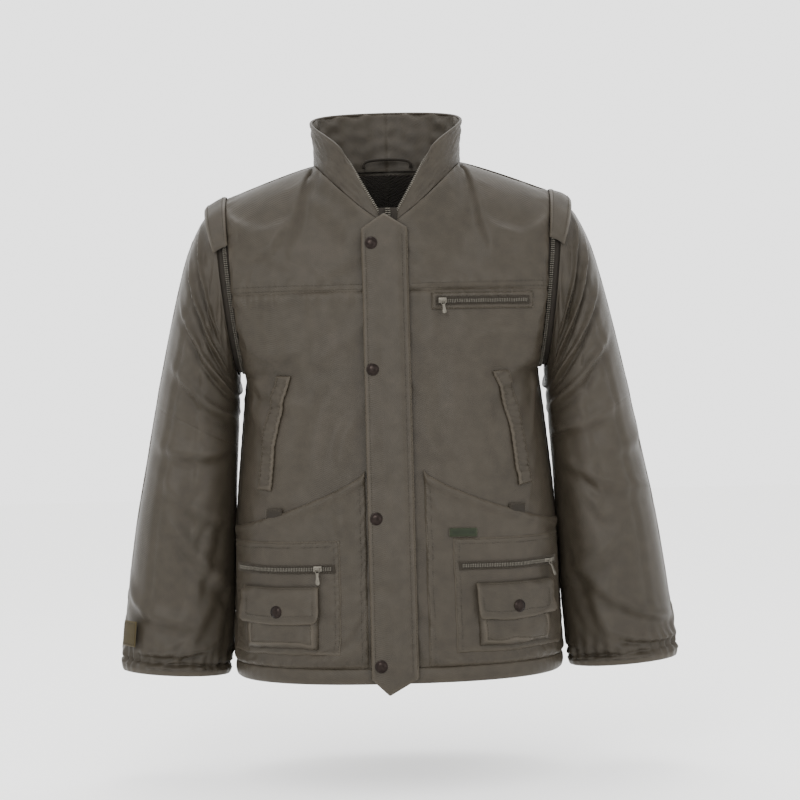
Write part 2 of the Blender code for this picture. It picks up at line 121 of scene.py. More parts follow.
# body section: a superellipse quarter from the centre to the side seam, or to the upright oval armhole above
def section(t, z, side, facing):
    top, bottom = cut["shoulderTip"][1], cut["underarm"]
    share = (z - (top + bottom) / 2) / ((top - bottom) / 2)
    edge = cut["armholeHalf"] * np.sqrt(np.clip(1 - share * share, 0, None)) * (z > bottom)
    deep = frontDepth(z) if facing < 0 else np.interp(z, cut["heights"], cut["backDepths"])
    power = 2 / cut["squareness"]
    across = halfWidth(z) * np.sin(t * pi / 2) ** power
    away = edge + (deep - edge) * np.clip(np.cos(t * pi / 2), 0, None) ** power
    return np.stack([side * across, facing * away, z + 0 * t], -1)


# top edge: a quarter oval of neck seam, then the shoulder line falling to its tip
def topEdge(t, side, facing, start):
    neck = t <= cut["neckShare"]
    turn = np.clip((t - start) / (cut["neckShare"] - start), 0, 1) * pi / 2
    least = cut["zipHalf"] if facing < 0 else 0.0
    ax = mix(least, cut["neckHalf"], np.sin(turn))
    if facing < 0:
        ay = -cut["neckFront"] * np.cos(turn)
        az = mix(cut["neckSeam"], -0.003, (ax / cut["neckHalf"]) ** 1.3)
    else:
        ay, az = cut["napeDepth"] * np.cos(turn), -0.003 * np.sin(turn)
    share = np.clip((t - cut["neckShare"]) / (1 - cut["neckShare"]), 0, 1)
    bx = mix(cut["neckHalf"], cut["shoulderTip"][0], share)
    bz = mix(-0.003, cut["shoulderTip"][1], share ** 1.15)
    return np.stack([side * np.where(neck, ax, bx), np.where(neck, ay, 0), np.where(neck, az, bz)], -1)


# torso: v runs 0 to 1 from the hem seam to the yoke seam, and 1 to 2 up a Bezier to the top edge
def torso(t, v, side, facing, start=0.0):
    z = mix(cut["hemSeam"], cut["yokeSeam"], np.minimum(v, 1.0))
    lower = section(t, z, side, facing)
    rise = np.clip(v - 1, 0, 1)[..., None]
    first = section(t, cut["yokeSeam"] + 0 * z, side, facing)
    last = topEdge(t, side, facing, start)
    over = np.minimum(t / cut["neckShare"], 1.0) ** 3
    knee = np.stack([mix(first[..., 0], last[..., 0], 0.6),
                     mix((first[..., 1] + last[..., 1]) / 2, first[..., 1], 0.95 * over),
                     mix((first[..., 2] + last[..., 2]) / 2, last[..., 2], over)], -1)
    upper = first * (1 - rise) ** 2 + knee * 2 * rise * (1 - rise) + last * rise ** 2
    return np.where(v[..., None] > 1, upper, lower)


# meshes
def newMesh(name, points, faces, uv=None, wear=None):
    mesh = bpy.data.meshes.new(name)
    mesh.from_pydata(points.reshape(-1, 3).tolist(), [], faces.tolist())
    if uv is not None:
        layer = mesh.uv_layers.new(name="cloth")
        loops = np.empty(len(mesh.loops), np.int32)
        mesh.loops.foreach_get("vertex_index", loops)
        layer.data.foreach_set("uv", uv.reshape(-1, 2)[loops].astype(np.float32).ravel())
    if wear is not None:
        rubbed = mesh.attributes.new("wear", "FLOAT", "POINT")
        rubbed.data.foreach_set("value", wear.astype(np.float32).ravel())
    mesh.shade_smooth()
    obj = bpy.data.objects.new(name, mesh)
    bpy.context.scene.collection.objects.link(obj)
    return obj


def gridFaces(rows, columns, closed=False):
    index = np.arange(rows * columns).reshape(rows, columns)
    if closed:
        index = np.concatenate([index, index[:, :1]], 1)
    quads = np.stack([index[:-1, :-1], index[:-1, 1:], index[1:, 1:], index[1:, :-1]], -1)
    return quads.reshape(-1, 4)


# normals of a grid: the cross product of its two directions, turned to point away from the axis given
def gridNormals(p, centre=(0.0, 0.0), closed=False):
    if closed:
        along = np.roll(p, -1, 1) - np.roll(p, 1, 1)
    else:
        along = np.gradient(p, axis=1)
    n = unit(np.cross(along, np.gradient(p, axis=0)))
    away = p - np.concatenate([np.broadcast_to(centre, p.shape[:-1] + (2,)), p[..., 2:]], -1)
    return n if (n * away).sum() > 0 else -n


def runLength(p, axis):
    steps = np.linalg.norm(np.diff(p, axis=axis), axis=-1)
    return np.insert(np.cumsum(steps, axis), 0, 0, axis)


def clothPiece(name, p, centre=(0.0, 0.0), closed=False, thick=0.0016, wear=None):
    n = gridNormals(p, centre, closed)
    faces = gridFaces(*p.shape[:2], closed)
    first = p.reshape(-1, 3)[faces[:, :3]]
    turn = np.cross(first[:, 1] - first[:, 0], first[:, 2] - first[:, 0])
    if (turn * n.reshape(-1, 3)[faces[:, 0]]).sum() < 0:
        faces = faces[:, ::-1]
    uv = np.stack([runLength(p, 1), runLength(p, 0)], -1)
    obj = newMesh(name, p, faces, uv, 0 * p[..., 0] if wear is None else wear)
    if thick:
        wall = obj.modifiers.new("wall", "SOLIDIFY")
        wall.thickness, wall.offset = thick, -1.0
        even = obj.modifiers.new("even", "WEIGHTED_NORMAL")
        even.weight, even.keep_sharp = 60, False
    return obj


# cloth simulation of one grid: the cloth grows by a few hundredths between its sewn edges and buckles
relax = dict(frames=16, bending=6.0, tension=20.0, mass=0.25, gravity=0.15, start=0.0008)


def puckered(p, pinned, grow, cap, pressure, seed, closed=False):
    n = gridNormals(p, (p[..., 0].mean(), 0.0) if closed else (0.0, 0.0), closed)
    rows, columns = p.shape[:2]
    x, y = np.meshgrid(np.arange(columns) * 0.005, np.arange(rows) * 0.005)
    free = (~pinned)[..., None]
    begin = p + n * (relax["start"] * noise(x, y, 0.05, seed))[..., None] * free
    obj = newMesh(f"relaxing{seed}", begin, gridFaces(rows, columns, closed))
    group = obj.vertex_groups.new(name="sewn")
    group.add(np.flatnonzero(pinned.ravel()).tolist(), 1.0, "REPLACE")
    cloth = obj.modifiers.new("cloth", "CLOTH")
    s = cloth.settings
    s.vertex_group_mass = "sewn"
    s.quality, s.mass = 5, relax["mass"]
    s.tension_stiffness = s.compression_stiffness = relax["tension"]
    s.shear_stiffness, s.bending_stiffness = 5.0, relax["bending"]
    s.shrink_min = s.shrink_max = -grow
    s.use_pressure = True
    s.uniform_pressure_force = pressure
    s.effector_weights.gravity = relax["gravity"]
    cloth.point_cache.frame_end = relax["frames"]
    scene = bpy.context.scene
    for number in range(1, relax["frames"] + 1):
        scene.frame_set(number)
    shape = obj.evaluated_get(bpy.context.evaluated_depsgraph_get()).to_mesh()
    found = np.empty(rows * columns * 3, np.float32)
    shape.vertices.foreach_get("co", found)
    scene.frame_set(1)
    bpy.data.objects.remove(obj)
    moved = found.reshape(p.shape).astype(float) - p
    rise = (moved * n).sum(-1, keepdims=True)
    rest = rise.mean()
    aside = moved - n * rise
    return p + n * cap * np.tanh((rise - 0.3 * rest) / cap) + 0.5 * aside  # swells no more than the cap


# folds: each is a ridge along a line between two (x, z) places, a bell across it that fades at its ends
def folded(p, n, folds, facing):
    x, z = p[..., 0], p[..., 2]
    rise = 0 * x
    for x0, z0, x1, z1, width, height in folds:
        dx, dz = x1 - x0, z1 - z0
        length = np.hypot(dx, dz)
        share = ((x - x0) * dx + (z - z0) * dz) / length ** 2
        across = ((x - x0) * dz - (z - z0) * dx) / length
        bow = 0.10 * length * np.sin(np.clip(share, 0, 1) * pi)
        fade = np.clip(np.minimum(share, 1 - share) * 4 + 0.35, 0, 1) * (share > -0.15) * (share < 1.15)
        d = across - bow
        rise += height * fade * (bell(d, width) - 0.6 * bell(d - 1.5 * width, width))
    faced = np.clip(facing * n[..., 1] * 2.5, 0, 1)
    return p + n * (rise * faced)[..., None]


# a row of small boxes along a path, for stitches and teeth: size is (length, width, height)
def boxRow(path, normal, pitch, size, lift=0.0, shift=0.0):
    run = np.insert(np.cumsum(np.linalg.norm(np.diff(path, axis=0), axis=1)), 0, 0)
    at = np.arange(pitch / 2, run[-1], pitch)
    spot = np.stack([np.interp(at, run, path[:, k]) for k in range(3)], -1)
    out = unit(np.stack([np.interp(at, run, normal[:, k]) for k in range(3)], -1))
    tangent = np.stack([np.interp(at, run, np.gradient(path[:, k], run)) for k in range(3)], -1)
    along = unit(tangent - out * (tangent * out).sum(-1, keepdims=True))
    across = np.cross(out, along)
    corner = np.array([(i, j, k) for k in (-1, 1) for j in (-1, 1) for i in (-1, 1)], float) / 2
    corner[4:] *= (0.8, 0.7, 1.0)
    spread = corner * size
    frameOf = np.stack([along, across, out], 1)
    spot = spot + out * lift + across * shift
    points = spot[:, None] + np.einsum("ck,nkd->ncd", spread, frameOf)
    quads = np.array([(0, 2, 3, 1), (4, 5, 7, 6), (0, 1, 5, 4), (2, 6, 7, 3), (0, 4, 6, 2), (1, 3, 7, 5)])
    faces = (quads[None] + 8 * np.arange(len(at))[:, None, None]).reshape(-1, 4)
    return points.reshape(-1, 3), faces


def joined(name, rows):
    start, points, faces = 0, [], []
    for p, f in rows:
        points.append(p)
        faces.append(f + start)
        start += len(p)
    return newMesh(name, np.concatenate(points), np.concatenate(faces))


# materials
def linear(hexColour):
    value = np.array([int(hexColour[i:i + 2], 16) / 255 for i in (1, 3, 5)])
    return (*np.where(value <= 0.04045, value / 12.92, ((value + 0.055) / 1.055) ** 2.4), 1.0)


def addNode(tree, kind, inputs=None, **settings):
    node = tree.nodes.new("ShaderNode" + kind)
    for key, value in settings.items():
        setattr(node, key, value)
    for key, value in (inputs or {}).items():
        if isinstance(value, bpy.types.NodeSocket):
            tree.links.new(value, node.inputs[key])
        else:
            node.inputs[key].default_value = value
    return node


def newMaterial(name, **values):
    material = bpy.data.materials.new(name)
    material.use_nodes = True
    shader = material.node_tree.nodes["Principled BSDF"]
    for key, value in values.items():
        shader.inputs[key.replace("_", " ")].default_value = value
    return material, material.node_tree, shader


# woven cloth: large soft patches of wash, fine lint, and a thread pattern that also dents the surface
def clothMaterial(name, dark, light, worn, thread, dent=0.35, rough=0.72, sheen=0.25, diagonal=True,
                  pile=0.0):
    material, tree, shader = newMaterial(name, Roughness=rough, Sheen_Weight=sheen, Sheen_Roughness=0.45,
                                         Specular_IOR_Level=0.16, Sheen_Tint=linear("#9a9184"))
    where = addNode(tree, "TexCoord").outputs["Object"]
    wash = addNode(tree, "TexNoise", {"Vector": where, "Scale": 9.0, "Detail": 4.0, "Roughness": 0.6})
    lint = addNode(tree, "TexNoise", {"Vector": where, "Scale": 1 / (6 * thread), "Detail": 3.0})
    uv = addNode(tree, "UVMap", uv_map="cloth").outputs["UV"]
    turned = addNode(tree, "Mapping", {"Vector": uv, "Rotation": (0, 0, radians(63 if diagonal else 0))})
    scale = 1 / thread / (2 * pi) * 2
    threads = addNode(tree, "TexWave", {"Vector": turned.outputs[0], "Scale": scale, "Distortion": 1.2,
                                        "Detail": 1.5, "Detail Scale": 2.0}, wave_type="BANDS")
    shade = addNode(tree, "MapRange", {"Value": wash.outputs[0], "From Min": 0.2, "From Max": 0.8})
    base = addNode(tree, "Mix", {"Factor": shade.outputs[0], "A": linear(dark), "B": linear(light)},
                   data_type="RGBA")
    fleck = addNode(tree, "MapRange", {"Value": lint.outputs[0], "From Min": 0.35, "From Max": 0.75,
                                       "To Max": 0.22})
    mixed = addNode(tree, "Mix", {"Factor": fleck.outputs[0], "A": base.outputs[2], "B": linear(worn)},
                    data_type="RGBA")
    line = addNode(tree, "MapRange", {"Value": threads.outputs["Fac"], "To Min": 0.0, "To Max": 0.16})
    lined = addNode(tree, "Mix", {"Factor": line.outputs[0], "A": mixed.outputs[2], "B": linear(dark)},
                    data_type="RGBA")
    rubbed = addNode(tree, "Attribute", attribute_name="wear")
    edge = addNode(tree, "Mix", {"Factor": rubbed.outputs["Fac"], "A": lined.outputs[2], "B": linear(worn)},
                   data_type="RGBA")
    tree.links.new(edge.outputs[2], shader.inputs["Base Color"])
    height = addNode(tree, "Math", {0: threads.outputs["Fac"], 1: lint.outputs[0]}, operation="ADD")
    bump = addNode(tree, "Bump", {"Height": height.outputs[0], "Strength": dent, "Distance": 0.0006 + pile})
    tree.links.new(bump.outputs[0], shader.inputs["Normal"])
    return material


# cast or pressed metal: dark plating, small scratches and dull hollows
def metalMaterial(name, dark, light, rough, grain):
    material, tree, shader = newMaterial(name, Metallic=1.0)
    where = addNode(tree, "TexCoord").outputs["Object"]
    spots = addNode(tree, "TexNoise", {"Vector": where, "Scale": 1 / grain, "Detail": 5.0})
    base = addNode(tree, "Mix", {"Factor": spots.outputs[0], "A": linear(dark), "B": linear(light)},
                   data_type="RGBA")
    gloss = addNode(tree, "MapRange", {"Value": spots.outputs[0], "To Min": rough, "To Max": rough + 0.2})
    bump = addNode(tree, "Bump", {"Height": spots.outputs[0], "Strength": 0.12, "Distance": 0.0003})
    tree.links.new(base.outputs[2], shader.inputs["Base Color"])
    tree.links.new(gloss.outputs[0], shader.inputs["Roughness"])
    tree.links.new(bump.outputs[0], shader.inputs["Normal"])
    return material


# thread is in metres: the real twill is 0.5 mm, drawn at 2.4 mm because finer would not show
# cotton-rich satin twill, washed: a low sheen along the folds, paler where it is rubbed
washedTwill = clothMaterial("washed satin twill", "#25211a", "#2e2922", "#403a31", 0.0024,
                            rough=0.48, sheen=0.03)
# the same cloth on the sleeves, pressed flatter by use, so its folds shine more
rubbedTwill = clothMaterial("washed satin twill, sleeve", "#242019", "#2d2821", "#403a31", 0.0024,
                            rough=0.42, sheen=0.03)
# dense narrow weave, darker and duller than the shell
wovenTape = clothMaterial("woven polyester tape", "#15120e", "#1d1914", "#2a251e", 0.0020, 0.5, 0.8,
                          diagonal=False)
# raised nap, nearly black and without any gloss
fleece = clothMaterial("brushed fleece", "#0a0907", "#120f0c", "#1a1713", 0.0040, 1.0, 0.95, 0.6, pile=0.0015)
# close damask weave, flat and green
oliveLabel = clothMaterial("damask woven label", "#0f140b", "#161c10", "#222918", 0.0012, 0.4, 0.7,
                           diagonal=False)
# a coarser twill, yellower than the shell
goldTwill = clothMaterial("woven patch", "#241e0e", "#2f2814", "#3c341c", 0.0018, 0.5, 0.7)
# spun thread, a little paler than the cloth it sinks into
stitchThread = clothMaterial("spun polyester thread", "#1b1812", "#2b271f", "#3a352b", 0.0012, 0.3, 0.7)
# pressed and plated domes: dark, with one sharp highlight
gunmetal = metalMaterial("gunmetal plated brass", "#151210", "#2b2523", 0.20, 0.004)
# die cast and tumbled: grey, with a broad dull highlight
antiqueNickel = metalMaterial("antique nickel zip metal", "#3b3832", "#6b675f", 0.38, 0.003)


def place(obj, bodyName, material, slot, *nodes):
    obj.data.materials.clear()
    obj.data.materials.append(material)
    if nodes:
        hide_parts(*nodes)
    if bodyName:
        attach(obj, bodyName)
    return obj


def softly(value, width=0.0012):  # zero below zero, the value itself above, with a soft bend between
    return (value + np.sqrt(value ** 2 + width ** 2)) / 2 - width / 2


# how far a grid point lies from the grid's nearest edge, in metres along the cloth
def fromEdge(p):
    up, across = runLength(p, 0), runLength(p, 1)
    d = np.minimum(up, up[-1] - up)
    return np.minimum(d, np.minimum(across, across[:, -1:] - across))


# torso: one grid for each front half and one for the back
body = dict(columns=76, lowerRows=104, upperRows=40, growFront=0.018, growBack=0.022, cap=0.006, lift=0.0028)


def torsoGrid(side, facing):
    start = columnAt(cut["zipHalf"], cut["yokeSeam"]) if facing < 0 else 0.0
    t = np.linspace(start, 1.0, body["columns"])
    v = np.concatenate([np.linspace(0, 1, body["lowerRows"]), np.linspace(1, 2, body["upperRows"] + 1)[1:]])
    return torso(*np.meshgrid(t, v), side, facing, start), t


# light folds of the body cloth, as (x, z, x, z, width, height), on the wearer's left; on the right they are
# mirrored and changed a little
bodyFolds = (
    (0.205, -0.285, 0.120, -0.335, 0.010, 0.0035), (0.200, -0.262, 0.130, -0.255, 0.009, 0.0028),
    (0.205, -0.300, 0.150, -0.400, 0.012, 0.0030), (0.050, -0.130, 0.110, -0.060, 0.012, 0.0022),
    (0.070, -0.300, 0.110, -0.430, 0.014, 0.0022), (0.200, -0.430, 0.120, -0.460, 0.010, 0.0026),
    (0.205, -0.150, 0.150, -0.110, 0.010, 0.0026), (0.045, -0.235, 0.095, -0.270, 0.010, 0.0016),
    (0.048, -0.350, 0.080, -0.420, 0.009, 0.0022), (0.215, -0.530, 0.180, -0.500, 0.008, 0.0020),
    (0.060, -0.440, 0.075, -0.520, 0.008, 0.0020), (0.150, -0.670, 0.110, -0.645, 0.008, 0.0020),
)
backFolds = (
    (0.190, -0.280, 0.060, -0.330, 0.014, 0.0040), (0.185, -0.250, 0.070, -0.240, 0.012, 0.0032),
    (0.200, -0.310, 0.110, -0.440, 0.014, 0.0036), (0.150, -0.480, 0.020, -0.455, 0.013, 0.0034),
    (0.100, -0.060, 0.030, -0.110, 0.012, 0.0026), (0.210, -0.600, 0.120, -0.560, 0.013, 0.0030),
    (0.060, -0.690, 0.075, -0.560, 0.014, 0.0030), (0.160, -0.690, 0.150, -0.590, 0.012, 0.0026),
)


def mirrored(folds, side, seed):
    random = np.random.default_rng(seed)
    jitter = random.uniform(-0.012, 0.012, (len(folds), 4))
    return [(side * (x0 + j[0]), z0 + j[1], side * (x1 + j[2]), z1 + j[3], width, height)
            for (x0, z0, x1, z1, width, height), j in zip(folds, jitter)]


# seams pull the cloth in: a groove along the seam, small puckers that cross it, and a soft roll beside it
def seamed(p, n, distance, along, seed, dent=0.0014, pucker=0.0010):
    cross = np.sin(along * 2 * pi / 0.017 + 2.5 * noise(along, 0 * along, 0.05, seed))
    move = -dent * bell(distance, 0.0035) + 0.7 * dent * bell(distance - 0.009, 0.006)
    move = move + pucker * cross * bell(distance - 0.006, 0.010)
    return p + n * move[..., None]


def rowDistance(p, row):
    up = runLength(p, 0)
    return np.abs(up - up[row])


print("torso")
shell = {}
for word, side in sides:
    for facing in (-1, 1):
        smooth, t = torsoGrid(side, facing)
        n = gridNormals(smooth)
        pinned = np.zeros(smooth.shape[:2], bool)
        pinned[[0, body["lowerRows"] - 1, -1]] = True
        pinned[:, [0, -1]] = True
        if facing > 0:
            pinned[:, 0] = False
            pinned[body["lowerRows"] - 1] = False
        grow = body["growFront"] if facing < 0 else body["growBack"]
        seed = 10 + side + 4 * facing
        p = puckered(smooth, pinned, grow, body["cap"], 0.4, seed)
        rise = ((p - smooth) * n).sum(-1, keepdims=True)
        p = p + n * (0.75 * softly(-rise) + body["lift"])
        p = folded(p, n, mirrored(bodyFolds if facing < 0 else backFolds, side, seed), facing)
        along = runLength(smooth, 1)
        if facing < 0:
            p = seamed(p, n, rowDistance(smooth, body["lowerRows"] - 1), along, seed)
        up = runLength(smooth, 0)
        p = seamed(p, n, along[:, -1:] - along, up, seed + 1, 0.0008, 0.0003)
        p = seamed(p, n, up, along, seed + 2)
        shell[side, facing] = dict(smooth=smooth, p=p, n=gridNormals(p), t=t)

# the two back halves meet at the centre with no seam, so their shared column is made the same
middle = (shell[-1, 1]["p"][:, 0] + shell[1, 1]["p"][:, 0]) / 2
middle[:, 0] = 0
fade = np.linspace(1, 0, 12)[None, :, None]
for side in (-1, 1):
    half = shell[side, 1]["p"]
    half[:, :12] += (middle - half[:, 0])[:, None] * fade
back = np.concatenate([shell[-1, 1]["p"][:, ::-1], shell[1, 1]["p"][:, 1:]], 1)
backSmooth = np.concatenate([shell[-1, 1]["smooth"][:, ::-1], shell[1, 1]["smooth"][:, 1:]], 1)
# side seams: below the underarm, front and back share their edge, so that no gap shows
for side in (-1, 1):
    f = shell[side, -1]["p"]
    b = back[:, -1 if side > 0 else 0]
    rows = (shell[side, -1]["smooth"][:, -1, 2] <= cut["underarm"] + 0.001)
    f[rows, -1] = b[rows]


def wearOf(p, width=0.005, strength=0.28):
    d = fromEdge(p)
    return strength * bell(d - 0.002, width) * (0.6 + 0.4 * noise(runLength(p, 1), runLength(p, 0), 0.03, 5))


shellThick = 0.0014
seamRow = body["lowerRows"] - 1


def declared(obj, smooth):
    return obj


for word, side in sides:
    g = shell[side, -1]
    for name, rows in ((f"front_panel_{word}", slice(0, seamRow + 1)),
                       (f"front_yoke_{word}", slice(seamRow, None))):
        p = g["p"][rows]
        obj = clothPiece(f"{name}_cloth", p, thick=shellThick, wear=wearOf(p))
        place(obj, "root", washedTwill, "shell_cloth", name)
        declared(obj, g["smooth"][rows])
obj = clothPiece("back_cloth", back, thick=shellThick, wear=wearOf(back))
place(obj, "root", washedTwill, "shell_cloth", "back_panel")
declared(obj, backSmooth)


# any place on a front half: t and z give the point, its normal and how it follows the cloth's folds
def onFront(side, t, z, off, follow=1.0):
    g = shell[side, -1]
    grid = g["smooth"] + (g["p"] - g["smooth"]) * follow
    rows = np.clip((z - cut["hemSeam"]) / (cut["yokeSeam"] - cut["hemSeam"]), 0, 0.9999) * seamRow
    columns = np.clip((t - g["t"][0]) / (1 - g["t"][0]), 0, 0.9999) * (body["columns"] - 1)
    r, c = rows.astype(int), columns.astype(int)
    a, b = (rows - r)[..., None], (columns - c)[..., None]

    def at(values):
        return ((values[r, c] * (1 - b) + values[r, c + 1] * b) * (1 - a)
                + (values[r + 1, c] * (1 - b) + values[r + 1, c + 1] * b) * a)
    out = unit(at(g["n"]))
    return at(grid) + out * np.asarray(off)[..., None], out


# lining: the smooth body a little inside the shell, so no fold of the shell touches it
print("lining and hem")
for side, facing in ((-1, -1), (-1, 1), (1, -1), (1, 1)):
    smooth = shell[side, facing]["smooth"]
    inner = smooth - gridNormals(smooth) * 0.0016
    word = "left" if side > 0 else "right"
    name = f"lining_{'front' if facing < 0 else 'back'}_{word}"
    obj = clothPiece(name, inner[::2, ::2], thick=0.0014)
    place(obj, "root", fleece, "fleece", "body_lining")
    declared(obj, inner[::2, ::2])

# hem casing: a turned band round the bottom, fuller in the middle, gathered a little at its seam
hem = dict(rows=14, columns=70, swell=0.0042)
for word, side in sides:
    for facing in (-1, 1):
        start = columnAt(cut["zipHalf"], cut["hemSeam"]) if facing < 0 else 0.0
        t, share = np.meshgrid(np.linspace(start, 1, hem["columns"]), np.linspace(0, 1, hem["rows"]))
        z = mix(cut["hemLow"], cut["hemSeam"] + 0.0006, share)
        smooth = section(t, z, side, facing)
        n = gridNormals(smooth)
        along = runLength(smooth, 1)
        full = np.sqrt(np.clip(4 * share * (1 - share), 0, 1))
        gather = 0.0006 * np.sin(along * 2 * pi / 0.013 + 3 * noise(along, z, 0.05, 8)) * share
        p = smooth + n * (0.0006 + hem["swell"] * full + gather)[..., None]
        obj = clothPiece(f"hem_casing_{word}_{'front' if facing < 0 else 'back'}", p, thick=0.0016,
                         wear=wearOf(p, 0.004, 0.35))
        place(obj, "root", washedTwill, "shell_cloth", "hem_casing")
        declared(obj, smooth)

# collar: from the neck seam to an oval top edge that climbs to the nape
collar = dict(side=0.106, corner=(0.060, 0.006), napeTop=0.086, columns=70, rows=26)


def collarGrid(side):
    a, lift = np.meshgrid(np.linspace(0, 1, collar["columns"]), np.linspace(0, 1, collar["rows"]))
    front = a <= 0.5
    turn = np.where(front, a, 1 - a) * pi
    across = np.where(front, mix(0.004, cut["neckHalf"], np.sin(turn)), cut["neckHalf"] * np.sin(turn))
    away = np.where(front, -cut["neckFront"], cut["napeDepth"]) * np.cos(turn)
    height = np.where(front, mix(cut["neckSeam"], -0.003, (across / cut["neckHalf"]) ** 1.3),
                      -0.003 * np.sin(turn))
    foot = np.stack([side * across, away, height], -1)
    begin = np.arcsin(collar["corner"][0] / collar["side"])
    sweep = mix(begin, pi, a)
    deep = np.where(np.cos(sweep) > 0, 0.088, 0.080)
    top = np.stack([side * collar["side"] * np.sin(sweep), -deep * np.cos(sweep),
                    mix(collar["corner"][1], collar["napeTop"], np.sin(a * pi / 2) ** 0.64)], -1)
    p = foot + (top - foot) * lift[..., None]
    n = gridNormals(p)
    return p, n, a, lift


print("collar")
for word, side in sides:
    for layer, material, slotName, node in (("shell", washedTwill, "shell_cloth", "collar"),
                                            ("lining", washedTwill, "fleece", "collar_lining")):
        smooth, n, a, lift = collarGrid(side)
        along = runLength(smooth, 1)
        wave = 0.0011 * noise(along, 2.2 * runLength(smooth, 0), 0.030, 31 if layer == "shell" else 32)
        roll = -0.0012 * bell(1 - lift, 0.03)
        if layer == "shell":
            p = smooth + n * (0.0024 + wave * 0.6 + roll)[..., None]
            p = seamed(p, n, np.abs((1 - lift) * 0.05 - 0.006), along, 33, 0.0009, 0.0003)
        else:
            p = smooth - n * (0.0016 - np.minimum(wave * 1.8, 0.0012) + roll)[..., None]
        obj = clothPiece(f"collar_{layer}_{word}", p, thick=0.0014 if layer == "shell" else -0.0014,
                         wear=wearOf(p, 0.004, 0.4 if layer == "shell" else 0.1))
        place(obj, "root", material, slotName, node)
        declared(obj, smooth)

# points closer than near are merged, and every face turned outward
def tidyFaces(obj, near=1e-7):
    shape = bmesh.new()
    shape.from_mesh(obj.data)
    bmesh.ops.remove_doubles(shape, verts=shape.verts[:], dist=near)
    bmesh.ops.recalc_face_normals(shape, faces=shape.faces[:])
    shape.to_mesh(obj.data)
    shape.free()
    obj.data.shade_smooth()


# rolled top edge and front edges of the collar, as one cord of cloth
def tubeAlong(name, path, radius, around=8, closed=False):
    tangent = unit(np.gradient(path, axis=0))
    if closed:
        tangent = unit(np.roll(path, -1, 0) - np.roll(path, 1, 0))
    sideways = unit(np.cross(tangent, np.array([0.13, 0.21, 1.0])))
    up = np.cross(sideways, tangent)
    turn = np.linspace(0, 2 * pi, around, endpoint=False)[None, :, None]
    ring = path[:, None] + radius * (np.cos(turn) * sideways[:, None] + np.sin(turn) * up[:, None])
    if closed:
        ring = np.concatenate([ring, ring[:1]], 0)
    faces = gridFaces(len(ring), around, True)
    points = ring.reshape(-1, 3)
    if not closed:
        points = np.concatenate([points, path[:1], path[-1:]])
        last, count = len(points) - 1, len(ring) * around
        first = np.arange(around)
        caps = [np.stack([first, np.roll(first, -1), 0 * first + last - 1, 0 * first + last - 1], -1),
                np.stack([np.roll(first, -1), first, 0 * first + last, 0 * first + last], -1)]
        caps[1][:, :2] += count - around
        tri = np.concatenate([c[:, :3] for c in caps])
        obj = newMesh(name, points, faces)
        obj.data.clear_geometry()
        obj.data.from_pydata(points.tolist(), [], faces.tolist() + tri.tolist())
    else:
        obj = newMesh(name, points, faces)
    tidyFaces(obj, 1e-6)
    return obj


for word, side in sides:
    smooth, n, a, lift = collarGrid(side)
    path = np.concatenate([smooth[:, 0], smooth[-1, 1:]]) + np.concatenate([n[:, 0], n[-1, 1:]]) * 0.0004
    piece = tubeAlong(f"collar_edge_{word}", path, 0.0021)
    place(piece, "root", washedTwill, "shell_cloth")

# sleeves: oval rings from the armhole zip to the cuff, each (outer x, z), (inner x, z), half depth
print("sleeves")
rings = np.array([
    (0.243, -0.054, 0.219, -0.292, 0.086), (0.264, -0.076, 0.2215, -0.297, 0.085),
    (0.285, -0.120, 0.224, -0.305, 0.083), (0.301, -0.180, 0.2265, -0.320, 0.080),
    (0.316, -0.245, 0.229, -0.345, 0.077), (0.334, -0.330, 0.2315, -0.385, 0.072),
    (0.350, -0.415, 0.234, -0.435, 0.068), (0.367, -0.500, 0.236, -0.505, 0.066),
    (0.381, -0.600, 0.238, -0.605, 0.062), (0.389, -0.670, 0.240, -0.680, 0.056),
    (0.391, -0.704, 0.243, -0.714, 0.052)])
armhole = dict(zipRing=(0.2330, -0.0490, 0.2090, -0.2900, 0.0868),
               sleeveRing=(0.2375, -0.0510, 0.2135, -0.2915, 0.0865))
sleeve = dict(around=120, upperEnd=5.0, upperRows=84, lowerRows=96, grow=0.020, cap=0.0075, lift=0.0012,
              underLift=0.0042, thick=0.0014, turnOver=0.0175, levelStep=0.065, turnStep=0.075,
              casing=0.02, casingSwell=0.0016, gather=0.0019, gatherPitch=0.017)


def ringPoint(ring, turn, side, grow=0.0):
    outer, inner = ring[..., 0:2], ring[..., 2:4]
    middle, reach = (outer + inner) / 2, (outer - inner) / 2
    size = np.linalg.norm(reach, axis=-1)
    far = (np.cos(turn) * (1 + grow / size))[..., None] * reach
    x, z = (middle + far)[..., 0], (middle + far)[..., 1]
    return np.stack([side * x, -(ring[..., 4] + grow) * np.sin(turn), z], -1)


def ringAt(level):
    index = np.arange(len(rings))
    smoothRing = np.stack([np.interp(level, index, rings[:, k]) for k in range(5)], -1)
    before = np.stack([np.interp(level - 0.35, index, rings[:, k]) for k in range(5)], -1)
    after = np.stack([np.interp(level + 0.35, index, rings[:, k]) for k in range(5)], -1)
    inside = ((level > 0.35) & (level < len(rings) - 1.35))[..., None]
    return np.where(inside, (before + 2 * smoothRing + after) / 4, smoothRing)


def sleeveGrid(start, end, rows, side):
    turn = np.linspace(0, 2 * pi, sleeve["around"], endpoint=False)
    level, turn = np.meshgrid(np.linspace(start, end, rows), turn, indexing="ij")
    return ringPoint(ringAt(level), turn, side), turn, level


# the sleeve's own normal, away from its axis at each ring
def sleeveNormals(p):
    down = np.gradient(p, axis=0)
    along = np.roll(p, -1, 1) - np.roll(p, 1, 1)
    n = unit(np.cross(along, down))
    outwards = p - p.mean(1, keepdims=True)
    return n * np.sign((n * outwards).sum(-1, keepdims=True))


